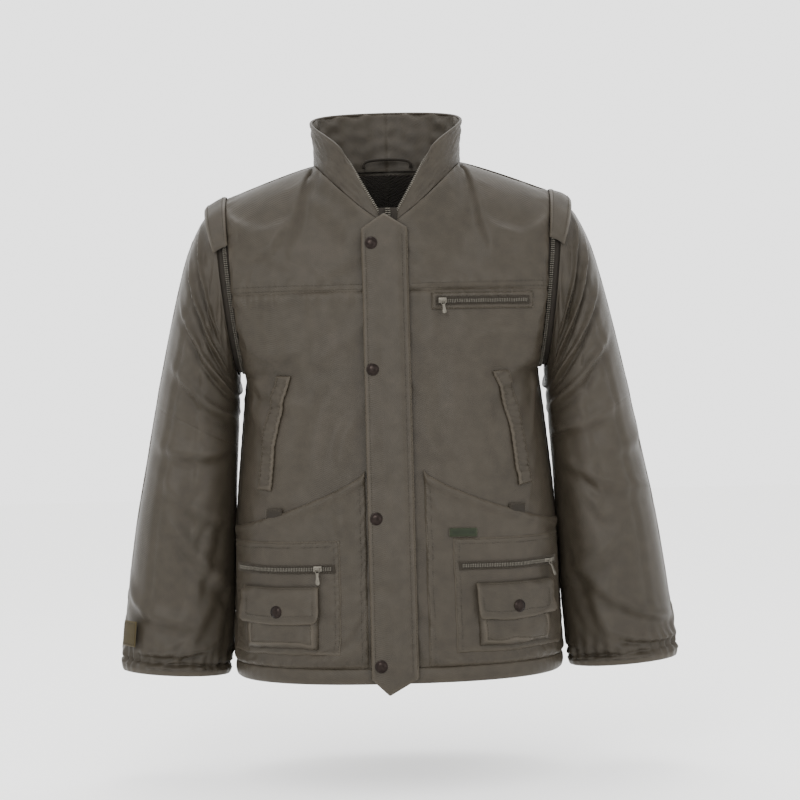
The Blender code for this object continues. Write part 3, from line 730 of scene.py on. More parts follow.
# folds that run across the sleeve: each (level, turn, slant, width in turns, width in levels, height)
sleeveFolds = {
    1: (
        (1.2, 70, 0.016, 45, 0.009, 0.0055), (2.0, 82, 0.012, 48, 0.0085, 0.006),
        (2.9, 92, 0.008, 50, 0.009, 0.0062), (3.9, 100, 0.003, 52, 0.0095, 0.0056),
        (4.9, 105, -0.004, 50, 0.01, 0.0044), (6.2, 80, -0.012, 60, 0.01, 0.0036),
        (7.4, 120, 0.012, 46, 0.009, 0.0042), (8.2, 70, -0.014, 50, 0.009, 0.0046),
        (8.9, 60, -0.008, 44, 0.007, 0.004), (5.6, 40, 0.004, 34, 0.009, 0.0026),
        (2.5, 250, -0.01, 70, 0.01, 0.0045), (4.6, 270, 0.01, 70, 0.01, 0.0045),
        (6.6, 260, -0.012, 70, 0.01, 0.0045), (8.4, 280, 0.01, 70, 0.01, 0.004),
    ),
    -1: (
        (1.3, 66, 0.015, 42, 0.009, 0.005), (2.2, 84, 0.012, 46, 0.0085, 0.0056),
        (3.1, 96, 0.006, 50, 0.009, 0.0056), (4.2, 104, 0.0, 52, 0.0095, 0.005),
        (5.4, 96, -0.006, 54, 0.01, 0.0044), (6.5, 110, 0.012, 46, 0.01, 0.004),
        (7.3, 118, 0.02, 40, 0.009, 0.0048), (8.1, 64, 0.01, 50, 0.009, 0.0036),
        (8.9, 90, -0.006, 46, 0.007, 0.0038), (2.4, 255, -0.01, 70, 0.01, 0.0045),
        (4.4, 268, 0.01, 70, 0.01, 0.0045), (6.4, 262, -0.012, 70, 0.01, 0.0045),
        (8.3, 276, 0.01, 70, 0.01, 0.004),
    ),
}


def sleeveFolded(p, n, turn, level, side):
    fine = np.arange(0, 10.01, 0.1)
    drop = np.interp(level, fine, 0.065 * fine)
    rise = 0 * drop
    for at, middle, slant, spread, width, height in sleeveFolds[side]:
        middleTurn = radians(middle)
        apart = (turn - middleTurn + pi) % (2 * pi) - pi
        d = drop - 0.065 * at - slant * apart / 0.5 - 0.010 * np.cos(apart * 1.7)
        fade = np.exp(-(apart / radians(spread)) ** 4)
        rise += 1.35 * height * fade * (bell(d, width) - 0.65 * bell(d - 1.7 * width, width * 1.1))
    return p + n * rise[..., None]


for word, side in sides:
    smooth, turn, level = sleeveGrid(0, 10, sleeve["upperRows"] + sleeve["lowerRows"], side)
    n = sleeveNormals(smooth)
    pinned = np.zeros(turn.shape, bool)
    pinned[:2] = pinned[-5:] = True
    pinned |= (np.abs(turn - radians(0)) < 0.02)
    p = puckered(smooth, pinned, sleeve["grow"], sleeve["cap"], 0.5, 50 + side, closed=True)
    rise = ((p - smooth) * n).sum(-1, keepdims=True)
    ends = np.clip(np.minimum(level, (10 - level) * 1.5) * 2, 0, 1)
    underSide = np.clip(-np.cos(turn), 0, 1) * bell(level - 4.0, 3.0)
    p = smooth + (p - smooth + 0.8 * n * softly(-rise)) * ends[..., None]
    p = p + n * (sleeve["lift"] + sleeve["underLift"] * underSide)[..., None]
    p = sleeveFolded(p, n, turn, level, side)
    along = turn * sleeve["turnStep"]
    height = (10 - level) * 0.038
    gathers = np.sin(along * 2 * pi / sleeve["gatherPitch"] + 2 * noise(along, 0 * along, 0.06, 60 + side))
    share = height / sleeve["casing"]
    swell = np.where(height < sleeve["casing"], np.sqrt(np.clip(4 * share * (1 - share), 0, 1)), 0)
    move = sleeve["casingSwell"] * swell + sleeve["gather"] * gathers * bell(height - 0.024, 0.016)
    p = p + n * (move - 0.0030 * bell(height - 0.0205, 0.0028))[..., None]
    ends = (level > 8.4) + (level < 0.4) * 1.0
    fromSeam = np.abs(turn - radians(58)) * sleeve["turnStep"] + ends
    p = seamed(p, n, fromSeam, level * sleeve["levelStep"], 70 + side, 0.0010, 0.0002)
    split = int(np.searchsorted(level[:, 0], sleeve["upperEnd"]))
    wear = np.zeros(turn.shape)
    wear[-4:] = 0.3
    for part, rows in (("upper", slice(0, split + 1)), ("lower", slice(split, None))):
        q = p[rows]
        obj = clothPiece(f"{part}_sleeve_{word}_cloth", q, (smooth[..., 0].mean(), 0.0), closed=True,
                         thick=sleeve["thick"], wear=wear[rows])
        place(obj, None, rubbedTwill, "shell_cloth", f"{part}_sleeve_{word}")
        declared(obj, smooth[rows])
        if part == "upper":
            start, away = np.array((side * 0.231, 0, -0.173)), np.array((side * 0.995, 0, -0.100))
            end = start + sleeve["turnOver"] * away
            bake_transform(obj)
        else:
            start, end = (side * 0.292, 0, -0.385), (side * 0.303, 0, -0.480)
            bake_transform(obj)
    # lining seen in the cuff: a short band inside
    inner, innerTurn, innerLevel = sleeveGrid(7.0, 9.75, 12, side)
    inner = inner - sleeveNormals(inner) * 0.0060
    obj = clothPiece(f"cuff_lining_{word}", inner, (inner[..., 0].mean(), 0.0), closed=True, thick=0.0012)
    place(obj, f"lower_sleeve_{word}", fleece, "fleece")
    declared(obj, inner)

# patches on the front: x and z are distances from the middle and heights, u and v run 0-1 over the patch
threads = {}


def patchGrid(side, x, z, off, follow=1.0):
    return onFront(side, columnAt(x, z), z, off, follow)


def spread(x0, x1, z0, z1, rows, columns):
    u, v = np.meshgrid(np.linspace(0, 1, columns), np.linspace(0, 1, rows))
    return mix(np.asarray(x0), np.asarray(x1), u), mix(np.asarray(z0), np.asarray(z1), v), u, v


def rolled(u, v, x, z, width=0.0022):
    wide, tall = np.ptp(x), np.ptp(z)
    edge = np.minimum(np.minimum(u, 1 - u) * wide, np.minimum(v, 1 - v) * tall)
    return np.clip(edge / width, 0, 1) ** 0.5 - 1, edge


def sewn(body, p, n, pitch=0.0036, shift=0.0, lift=0.0003):
    threads.setdefault(body, []).append(boxRow(p, n, pitch, (0.0025, 0.0007, 0.0005), lift, shift))


def sewnOn(body, side, path, off, **values):
    path = np.array(path, float)
    run = np.insert(np.cumsum(np.linalg.norm(np.diff(path, axis=0), axis=1)), 0, 0)
    at = np.linspace(0, run[-1], max(8, int(run[-1] / 0.002)))
    x, z = np.interp(at, run, path[:, 0]), np.interp(at, run, path[:, 1])
    p, n = patchGrid(side, x, z, off)
    sewn(body, p, n, **values)


def clothPatch(name, side, x0, x1, z0, z1, off, rows, columns, pucker, seed, material, slotName, *nodes,
               lipHeight=0):
    x, z, u, v = spread(x0, x1, z0, z1, rows, columns)
    roll, edge = rolled(u, v, x, z)
    ripple = np.sin((x + z) * 2 * pi / 0.012 + 3 * noise(x, z, 0.03, seed)) * bell(edge - 0.006, 0.006)
    soft = noise(x, z, 0.025, seed + 1)
    lip = lipHeight * bell((1 - v) * np.ptp(z, axis=0) - 0.006, 0.007) if lipHeight else 0
    lift = off + 0.0014 * roll + lip + pucker * (ripple + 0.8 * soft * np.clip(edge / 0.01, 0, 1))
    p, n = patchGrid(side, x, z, lift)
    flat, _ = patchGrid(side, x, z, off, 0.0)
    obj = clothPiece(name, p, thick=0.0014, wear=0.45 * bell(edge, 0.003))
    place(obj, "root", material, slotName, *nodes)
    declared(obj, flat)
    return p, n


print("pockets")
pocket = dict(game=(0.040, 0.2215, -0.690), panel=(0.077, 0.2205, -0.673, -0.519),
              zip=(0.084, 0.214, -0.562, -0.550),
              bellows=(0.107, 0.200, -0.664, -0.590), flap=(0.105, 0.203, -0.628, -0.579),
              tab=(0.152, 0.174, -0.491, -0.475))
offs = dict(game=0.0018, panel=0.0036, zip=0.0046, bellows=0.0100, flap=0.0124, welt=0.0034, tab=0.0044)
for word, side in sides:
    x0, x1, z0 = pocket["game"]
    share = np.linspace(0, 1, 70)[None, :]
    slant = -0.428 - 0.074 * share ** 0.72
    clothPatch(f"game_pocket_{word}_cloth", side, x0, x1, z0, slant, offs["game"], 80, 70, 0.0006, 90 + side,
               washedTwill, "shell_cloth", f"game_pocket_{word}", lipHeight=0.0036)
    edge = [(x0 + 0.002, z0 + 0.004), (x0 + 0.002, -0.431)]
    edge += [(x0 + 0.181 * s, -0.431 - 0.074 * s ** 0.72) for s in np.linspace(0.02, 1, 12)]
    for inset in (0.0, 0.0065):
        sewnOn("root", side, [(a + inset * (i < 2), b - inset * (i > 0)) for i, (a, b) in enumerate(edge)],
               offs["game"])
    x0, x1, z0, z1 = pocket["panel"]
    clothPatch(f"cargo_panel_{word}_cloth", side, x0, x1, z0, z1, offs["panel"], 60, 56, 0.0006, 94 + side,
               washedTwill, "shell_cloth", f"cargo_panel_{word}")
    for inset in (0.0022, 0.0080):
        sewnOn("root", side, [(x0 + inset, z0 + 0.003), (x0 + inset, z1 - inset), (x1, z1 - inset)],
               offs["panel"])
    x0, x1, z0, z1 = pocket["tab"]
    clothPatch(f"hook_tab_{word}_cloth", side, x0, x1, z0, z1, offs["tab"], 16, 20, 0.0002, 98 + side,
               wovenTape, "trim_cloth", f"hook_tab_{word}")
    sewnOn("root", side, [(x0 + 0.002, z0 + 0.002), (x1 - 0.002, z0 + 0.002), (x1 - 0.002, z1 - 0.002),
                          (x0 + 0.002, z1 - 0.002), (x0 + 0.002, z0 + 0.002)], offs["tab"])
    # cargo zip: two tapes with a row of teeth between
    x0, x1, z0, z1 = pocket["zip"]
    clothPatch(f"cargo_zip_{word}_tape", side, x0, x1, z0, z1, offs["zip"] + 0.0012, 14, 70, 0.0001,
               102 + side,
               wovenTape, "zip_tape", f"cargo_zip_{word}")
    x = np.linspace(x0 + 0.004, x1 - 0.004, 90)
    z = np.full(90, (z0 + z1) / 2)
    p, n = patchGrid(side, x, z, offs["zip"] + 0.0014)
    rows = [boxRow(p, n, 0.0024, (0.0012, 0.0036, 0.0012), 0.0002, k) for k in (-0.0011, 0.0011)]
    place(joined(f"cargo_zip_{word}_teeth", rows), "root", antiqueNickel, "zip_metal")
    for height in (z0 + 0.0018, z1 - 0.0018):
        sewnOn("root", side, [(x0 + 0.002, height), (x1 - 0.002, height)], offs["zip"] + 0.0012)
    # bellows: a raised box of cloth with soft corners, sunk at its stitched rim
    x0, x1, z0, z1 = pocket["bellows"]
    x, z, u, v = spread(x0, x1, z0, z1, 46, 54)
    _, edge = rolled(u, v, x, z)
    up = np.clip(edge / 0.007, 0, 1)
    up = up ** 0.6
    dip = -0.0008 * bell(edge - 0.0095, 0.0014)
    crinkle = 0.0007 * noise(x, z, 0.02, 106 + side)
    lift = offs["panel"] + 0.0012 + (offs["bellows"] - offs["panel"]) * up + dip + crinkle
    p, n = patchGrid(side, x, z, lift)
    obj = clothPiece(f"bellows_pocket_{word}_cloth", p, thick=0.0014, wear=0.5 * bell(edge - 0.007, 0.003))
    place(obj, "root", washedTwill, "shell_cloth", f"bellows_pocket_{word}")
    declared(obj, patchGrid(side, x, z, offs["panel"], 0.0)[0])
    sewn_path = [(x0 + 0.009, z1), (x0 + 0.009, z0 + 0.009), (x1 - 0.009, z0 + 0.009), (x1 - 0.009, z1)]
    sewnOn("root", side, sewn_path, offs["bellows"] + 0.0011)

# pocket flaps: sewn at the top, bent down over the bellows, with rounded lower corners and a swollen edge
flap = dict(rows=40, columns=54, corner=0.010)
for word, side in sides:
    x0, x1, z0, z1 = pocket["flap"]
    x, z, u, v = spread(x0, x1, z0, z1, flap["rows"], flap["columns"])
    aside = np.clip(np.abs(u - 0.5) * (x1 - x0) - ((x1 - x0) / 2 - flap["corner"]), 0, None)
    cutCorner = flap["corner"] - np.sqrt(np.clip(flap["corner"] ** 2 - aside ** 2, 0, None))
    z = mix(z0 + cutCorner, np.full_like(u, z1), v)
    z = z - 0.002 * np.sin(pi * u) * (1 - v)
    top = np.clip((z1 - z) / 0.010, 0, 1)
    rim = np.minimum(np.minimum(u, 1 - u) * (x1 - x0), v * (z1 - z0))
    lift = mix(offs["zip"] + 0.0030, offs["flap"] + 0.0006, np.sin(top * pi / 2))
    lift = lift + 0.0016 * np.sqrt(np.clip(rim / 0.003, 0, 1)) - 0.0016 - 0.0006 * bell(rim - 0.0075, 0.0012)
    lift = lift + 0.0009 * noise(x, z, 0.022, 110 + side) + 0.0026 * (1 - v) ** 3 * np.abs(2 * u - 1) ** 3
    p, n = patchGrid(side, x, z, lift + 0.0008)
    obj = clothPiece(f"pocket_flap_{word}_cloth", p, thick=0.0018, wear=0.5 * bell(rim, 0.003))
    place(obj, None, washedTwill, "shell_cloth", f"pocket_flap_{word}")
    declared(obj, patchGrid(side, x, z, offs["flap"], 0.0)[0])
    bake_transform(obj)
    lastRow = p.shape[0] * 2 // 3
    sewn(f"pocket_flap_{word}", p[9, 3:-3], n[9, 3:-3])
    sewn(f"pocket_flap_{word}", p[9:lastRow, 4], n[9:lastRow, 4])
    sewn(f"pocket_flap_{word}", p[9:lastRow, -5], n[9:lastRow, -5])
    sewn("root", p[-3, 2:-2], n[-3, 2:-2])

# hand pocket welts: slanted bars, bowed, gathered by their two stitch rows
for word, side in sides:
    u, v = np.meshgrid(np.linspace(0, 1, 22), np.linspace(0, 1, 90))
    inner = mix(0.166, 0.134, v) + 0.006 * np.sin(pi * v)
    outer = mix(0.184, 0.153, v) + 0.006 * np.sin(pi * v)
    x, z = mix(inner, outer, u), mix(-0.450, -0.295, v) + 0.003 * (u - 0.5)
    edge = np.minimum(np.minimum(u, 1 - u) * 0.019, np.minimum(v, 1 - v) * 0.155)
    pinch = np.sin(v * 2 * pi * 155 / 9.5 + 2 * noise(x, z, 0.03, 120 + side))
    full = np.clip(edge / 0.0035, 0, 1) ** 0.5
    lift = offs["welt"] - 0.0012 + 0.0030 * full + 0.0009 * pinch * (0.35 + 0.65 * bell(edge - 0.004, 0.003))
    p, n = patchGrid(side, x, z, lift)
    obj = clothPiece(f"hand_pocket_welt_{word}_cloth", p, thick=0.0016, wear=0.6 * bell(edge, 0.003))
    place(obj, "root", washedTwill, "shell_cloth", f"hand_pocket_welt_{word}")
    declared(obj, patchGrid(side, x, z, offs["welt"], 0.0)[0])
    for column in (4, 17):
        sewn("root", p[3:-3, column], n[3:-3, column])

# label: a small blank woven strip on the wearer's left pocket
clothPatch("woven_label_cloth", 1, 0.072, 0.109, -0.5175, -0.5060, 0.0058, 14, 34, 0.0001, 130, oliveLabel,
           "label_cloth", "woven_label")

# chest zip: a stitched box round a short zip on the wearer's left
chest = dict(x=(0.062, 0.187), z=(-0.2065, -0.1965))
for name, grow, off in (("chest_zip_box", 0.006, 0.0030), ("chest_zip_tape", 0.0010, 0.0042)):
    material, slotName = (washedTwill, "trim_cloth") if grow > 0.003 else (wovenTape, "zip_tape")
    nodes = () if grow > 0.003 else ("chest_zip",)
    clothPatch(name, 1, chest["x"][0] - grow, chest["x"][1] + grow, chest["z"][0] - grow,
               chest["z"][1] + grow, off,
               18, 70, 0.0002, 132, material, slotName, *nodes)
x = np.linspace(chest["x"][0] + 0.003, chest["x"][1] - 0.003, 90)
p, n = patchGrid(1, x, np.full(90, sum(chest["z"]) / 2), 0.0046)
rows = [boxRow(p, n, 0.0024, (0.0012, 0.0034, 0.0012), 0.0, k) for k in (-0.0010, 0.0010)]
place(joined("chest_zip_teeth", rows), "root", antiqueNickel, "zip_metal")
for inset in (0.0046, 0.0008):
    a, b, c, d = chest["x"][0] - inset, chest["x"][1] + inset, chest["z"][0] - inset, chest["z"][1] + inset
    sewnOn("root", 1, [(a, c), (b, c), (b, d), (a, d), (a, c)], 0.0044 if inset < 0.002 else 0.0032)


# metal parts: a softened block, a round turned part, and a flat pull with a waist
def softBlock(name, centre, along, out, size, bevel=0.0007):
    along, out = unit(np.array(along, float)), unit(np.array(out, float))
    across = np.cross(out, along)
    corner = np.array([(i, j, k) for k in (-1, 1) for j in (-1, 1) for i in (-1, 1)], float) / 2
    points = np.array(centre) + (corner * size) @ np.stack([along, across, out])
    quads = np.array([(0, 2, 3, 1), (4, 5, 7, 6), (0, 1, 5, 4), (2, 6, 7, 3), (0, 4, 6, 2), (1, 3, 7, 5)])
    obj = newMesh(name, points, quads)
    soft = obj.modifiers.new("soft", "BEVEL")
    soft.width, soft.segments = bevel, 3
    return obj


def turned(name, profile, centre, out, around=36):
    out = unit(np.array(out, float))
    first = unit(np.cross(out, (0.0, 0.0, 1.0)))
    second = np.cross(out, first)
    radius, height = np.array(profile, float).T
    turn = np.linspace(0, 2 * pi, around, endpoint=False)
    ring = np.cos(turn)[:, None] * first + np.sin(turn)[:, None] * second
    points = np.array(centre) + radius[:, None, None] * ring[None] + height[:, None, None] * out
    faces = gridFaces(len(radius), around, True)
    middle = np.array(centre) + out * height[[0, -1]][:, None]
    count = len(radius) * around
    k = np.arange(around)
    fan = [np.stack([k + start, np.roll(k, -1) + start, 0 * k + tip], -1)
           for start, tip in ((0, count), (count - around, count + 1))]
    obj = newMesh(name, np.concatenate([points.reshape(-1, 3), middle]), faces)
    obj.data.clear_geometry()
    obj.data.from_pydata(np.concatenate([points.reshape(-1, 3), middle]).tolist(), [],
                         faces.tolist() + np.concatenate(fan).tolist())
    tidyFaces(obj)
    return obj


def pull(name, start, along, out, length, width, thick):
    along, out = unit(np.array(along, float)), unit(np.array(out, float))
    across = np.cross(out, along)
    s = np.linspace(0, 1, 40)
    half = width / 2 * (0.80 - 0.22 * np.sin(pi * np.clip(s * 1.5, 0, 1)) + 0.20 * s)
    half = half * np.sqrt(np.clip(np.minimum(s * 12, (1 - s) * 9), 0.02, 1))
    v = np.linspace(-1, 1, 9)
    dome = 1 - 0.25 * v[None] ** 2 - 0.1 * (np.abs(s[:, None] - 0.5) * 2) ** 6
    flat = np.array(start) + s[:, None, None] * length * along + (v[None] * half[:, None])[..., None] * across
    topSide = flat + (dome * thick / 2)[..., None] * out
    under = flat - (dome * thick / 2)[..., None] * out
    ring = np.concatenate([topSide, under[:, ::-1]], 1)
    faces = gridFaces(ring.shape[0], ring.shape[1], True)
    k = np.arange(ring.shape[1] // 2 - 1)
    last = ring.shape[1] - 1
    caps = [np.stack([k + b, k + 1 + b, last - k - 1 + b, last - k + b], -1)
            for b in (0, (len(s) - 1) * (last + 1))]
    obj = newMesh(name, ring.reshape(-1, 3), np.concatenate([faces] + caps))
    tidyFaces(obj)
    return obj


def zipHead(prefix, body, pullBody, centre, along, out, hang, length, nodes):
    along, out, hang = (unit(np.array(value, float)) for value in (along, out, hang))
    centre = np.array(centre)
    base = softBlock(prefix + "_head", centre, along, out, (0.0115, 0.0080, 0.0030), 0.0010)
    bridge = softBlock(prefix + "_bridge", centre + out * 0.0026, along, out, (0.0080, 0.0026, 0.0026),
                       0.0009)
    for obj, used in ((base, nodes[:1]), (bridge, ())):
        place(obj, body, antiqueNickel, "zip_metal", *used)
    turn = np.linspace(0, 2 * pi, 24, endpoint=False)[:, None]
    ringMiddle = centre + out * 0.0034 + hang * 0.0032
    path = ringMiddle + 0.0034 * (np.cos(turn) * hang + 0.8 * np.sin(turn) * np.cross(out, hang))
    loop = tubeAlong(prefix + "_ring", path, 0.0006, closed=True)
    place(loop, pullBody, antiqueNickel, "zip_metal")
    tag = pull(prefix + "_tag", centre + out * 0.0040 + hang * 0.0050, hang, out, length, 0.0058, 0.0013)
    place(tag, pullBody, antiqueNickel, "zip_metal", *nodes[1:])


capProfile = ((0.0, 0.0030), (0.0024, 0.0029), (0.0046, 0.0025), (0.0064, 0.0017), (0.0074, 0.0009),
              (0.0078, 0.0003),
              (0.0078, -0.0004), (0.0070, -0.0008))


def snap(name, body, spot, out, nodes):
    spot, out = np.array(spot), unit(np.array(out, float))
    rim = turned(name + "_rim", ((0.0082, -0.0004), (0.0085, 0.0002), (0.0082, 0.0007), (0.0075, 0.0009)),
                 spot, out)
    cap = turned(name + "_dome", capProfile[1:], spot, out)
    place(rim, body, gunmetal, "snap_metal")
    place(cap, body, gunmetal, "snap_metal", *nodes)


print("front closure")
front = dict(slope=0.0735, y=-0.13454, z=-0.40141)


def frontLine(x, z, off):
    out = unit(np.array([0.0, -1.0, front["slope"]]))
    p = np.stack([x, front["y"] + front["slope"] * (z - front["z"]), z], -1)
    p = p + out * np.asarray(off)[..., None]
    return p, np.broadcast_to(out, p.shape)


# storm flap: a doubled strip, sewn along the wearer's left edge, pointed at both ends, with a swollen rim
storm = dict(rows=150, columns=34, half=0.0315, middleX=-0.0055, middleZ=-0.402, end=0.302, tip=0.322,
             off=0.0042)
u, v = np.meshgrid(np.linspace(-1, 1, storm["columns"]), np.linspace(-1, 1, storm["rows"]))
topEnd = storm["end"] + (storm["tip"] - storm["end"]) * (1 - np.abs(u)) - 0.001
lowPeak = (u + 0.25) / np.where(u < -0.25, 0.75, 1.25)
lowEnd = storm["end"] + (storm["tip"] + 0.002 - storm["end"]) * (1 - np.abs(lowPeak))
x = storm["middleX"] + storm["half"] * u
z = storm["middleZ"] + np.where(v > 0, topEnd * v, lowEnd * v)
rim = np.minimum(np.minimum(1 + u, 1 - u) * storm["half"], (1 - np.abs(v)) * storm["end"])
free = (1 - u) / 2
crown = 0.0030 * np.sin(free * pi) ** 0.8 + 0.0012 * noise(x, z, 0.045, 141) * free
crinkles = np.sin(z * 2 * pi / 0.0125 + 2.5 * noise(x, z, 0.04, 142))
ripple = crinkles * (bell(x - 0.0165, 0.004) + 0.5 * bell(rim - 0.004, 0.004))
slack = 0.0016 * np.cos(v * 14) * np.clip(free - 0.25, 0, 1)
groove = -0.0008 * (bell(x - 0.0245, 0.0010) + bell(x - 0.0192, 0.0010) + bell(rim - 0.0050, 0.0010))
roundEdge = 0.0018 * (np.clip(rim / 0.003, 0, 1) ** 0.5 - 1)
lift = storm["off"] + crown + 0.0007 * ripple + slack + groove + roundEdge
p, n = frontLine(x, z, lift)
flat, _ = frontLine(x, z, 0 * lift)
obj = clothPiece("storm_flap_cloth", p, thick=0.0020, wear=0.55 * bell(rim, 0.0035))
place(obj, None, washedTwill, "shell_cloth", "storm_flap")
declared(obj, flat)
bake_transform(obj)
for at in (0.0245, 0.0192):
    acrossShare = (at - storm["middleX"] + storm["half"]) / (2 * storm["half"])
    column = int(round(acrossShare * (storm["columns"] - 1)))
    sewn("root" if at > 0.022 else "storm_flap", p[3:-3, column], n[3:-3, column])
sewn("storm_flap", p[3:-3, 3], n[3:-3, 3])
for number, height in enumerate((-0.120, -0.292, -0.493, -0.687), 1):
    near = np.argmin((p[..., 0] + 0.025) ** 2 + (p[..., 2] - height) ** 2)
    spot = p.reshape(-1, 3)[near] + n.reshape(-1, 3)[near] * 0.0004
    snap(f"placket_snap_{number}", "storm_flap", spot, n.reshape(-1, 3)[near], (f"placket_cap_{number}",))
    base, out = frontLine(np.array([-0.025]), np.array([height]), np.array([-0.0034]))
    stud = turned(f"placket_post_{number}", ((0.0070, -0.0006), (0.0072, 0.0002), (0.0050, 0.0010),
                                             (0.0036, 0.0026),
                                            (0.0030, 0.0030)), base[0], out[0], 28)
    place(stud, "root", gunmetal, "snap_metal", f"placket_stud_{number}")

# main zip: a tape each side of the front line that turns off along the collar's front edge, with its teeth
for word, side in sides:
    z = np.linspace(cut["hemLow"] + 0.006, -0.072, 170)
    lines = []
    for across in np.linspace(0.0008, 0.0125, 6):
        lines.append(frontLine(np.full(170, side * across), z, np.full(170, -0.0052))[0])
    p = np.stack(lines, 1)
    obj = clothPiece(f"main_zip_tape_{word}", p, thick=0.0010)
    place(obj, "root", wovenTape, "zip_tape", f"main_zip_{word}")
    declared(obj, p)
    line, out = frontLine(np.full(170, side * 0.0012), z, np.full(170, -0.0046))
    rows = [boxRow(line, out, 0.0030, (0.0016, 0.0046, 0.0022), 0.0006, 0.0)]
    smooth, n, a, lift = collarGrid(side)
    edge = smooth[:, 0] + n[:, 0] * 0.0020
    edge = np.concatenate([line[-1:], edge])
    edgeN = np.concatenate([out[-1:], n[:, 0]])
    rows.append(boxRow(edge, edgeN, 0.0030, (0.0016, 0.0046, 0.0022), 0.0006, 0.0))
    place(joined(f"main_zip_teeth_{word}", rows), "root", antiqueNickel, "zip_metal")
spot, out = frontLine(np.array([0.0]), np.array([-0.10769]), np.array([-0.0044]))
zipHead("main_zip", "main_zip_slider", "main_zip_slider", spot[0], (0, 0.0733, 0.9973), out[0],
        (0, 0.02, -1), 0.022,
        ("main_zip_slider", "main_zip_pull"))

# chest and cargo sliders sit at one end of their teeth
spot, out = patchGrid(1, np.array([0.0702]), np.array([-0.2011]), np.array([0.0070]))
zipHead("chest_zip", "chest_zip_slider", "chest_zip_pull", spot[0], (1, 0, 0), out[0], (0.12, 0, -1), 0.013,
        ("chest_zip_slider", "chest_zip_pull"))
for word, side in sides:
    distance = 0.1050 if side < 0 else 0.1990
    spot, out = patchGrid(side, np.array([distance]), np.array([-0.5555]), np.array([0.0082]))
    hang = (0.03, 0, -1) if side < 0 else (0.35, 0, -1)
    zipHead(f"cargo_zip_{word}", f"cargo_slider_{word}", f"cargo_pull_{word}", spot[0], (1, 0, 0), out[0],
            hang, 0.017,
            (f"cargo_zip_{word}_slider", f"cargo_zip_{word}_pull"))
    spot, out = patchGrid(side, np.array([0.157]), np.array([-0.612]), np.array([offs["flap"] + 0.0014]))
    snap(f"flap_snap_{word}", f"pocket_flap_{word}", spot[0], out[0], (f"flap_cap_{word}",))
    base, out = patchGrid(side, np.array([0.157]), np.array([-0.612]), np.array([offs["bellows"] - 0.0004]))
    stud = turned(f"flap_post_{word}", ((0.0070, -0.0010), (0.0072, 0.0), (0.0050, 0.0006), (0.0036, 0.0014),
                                       (0.0030, 0.0016)), base[0], out[0], 28)
    place(stud, "root", gunmetal, "snap_metal", f"pocket_stud_{word}")

# armholes: a tape from the body's edge to the zip, the zip's teeth, and a tape from the zip to the sleeve
print("armholes and wings")


def ringTurn(p, ring, side):
    outer, inner = np.array(ring[0:2]), np.array(ring[2:4])
    middle, reach = (outer + inner) / 2, (outer - inner) / 2
    flat = np.stack([side * p[..., 0], p[..., 2]], -1) - middle
    return np.arctan2(-p[..., 1] / ring[4], flat @ reach / (reach @ reach)) % (2 * pi)


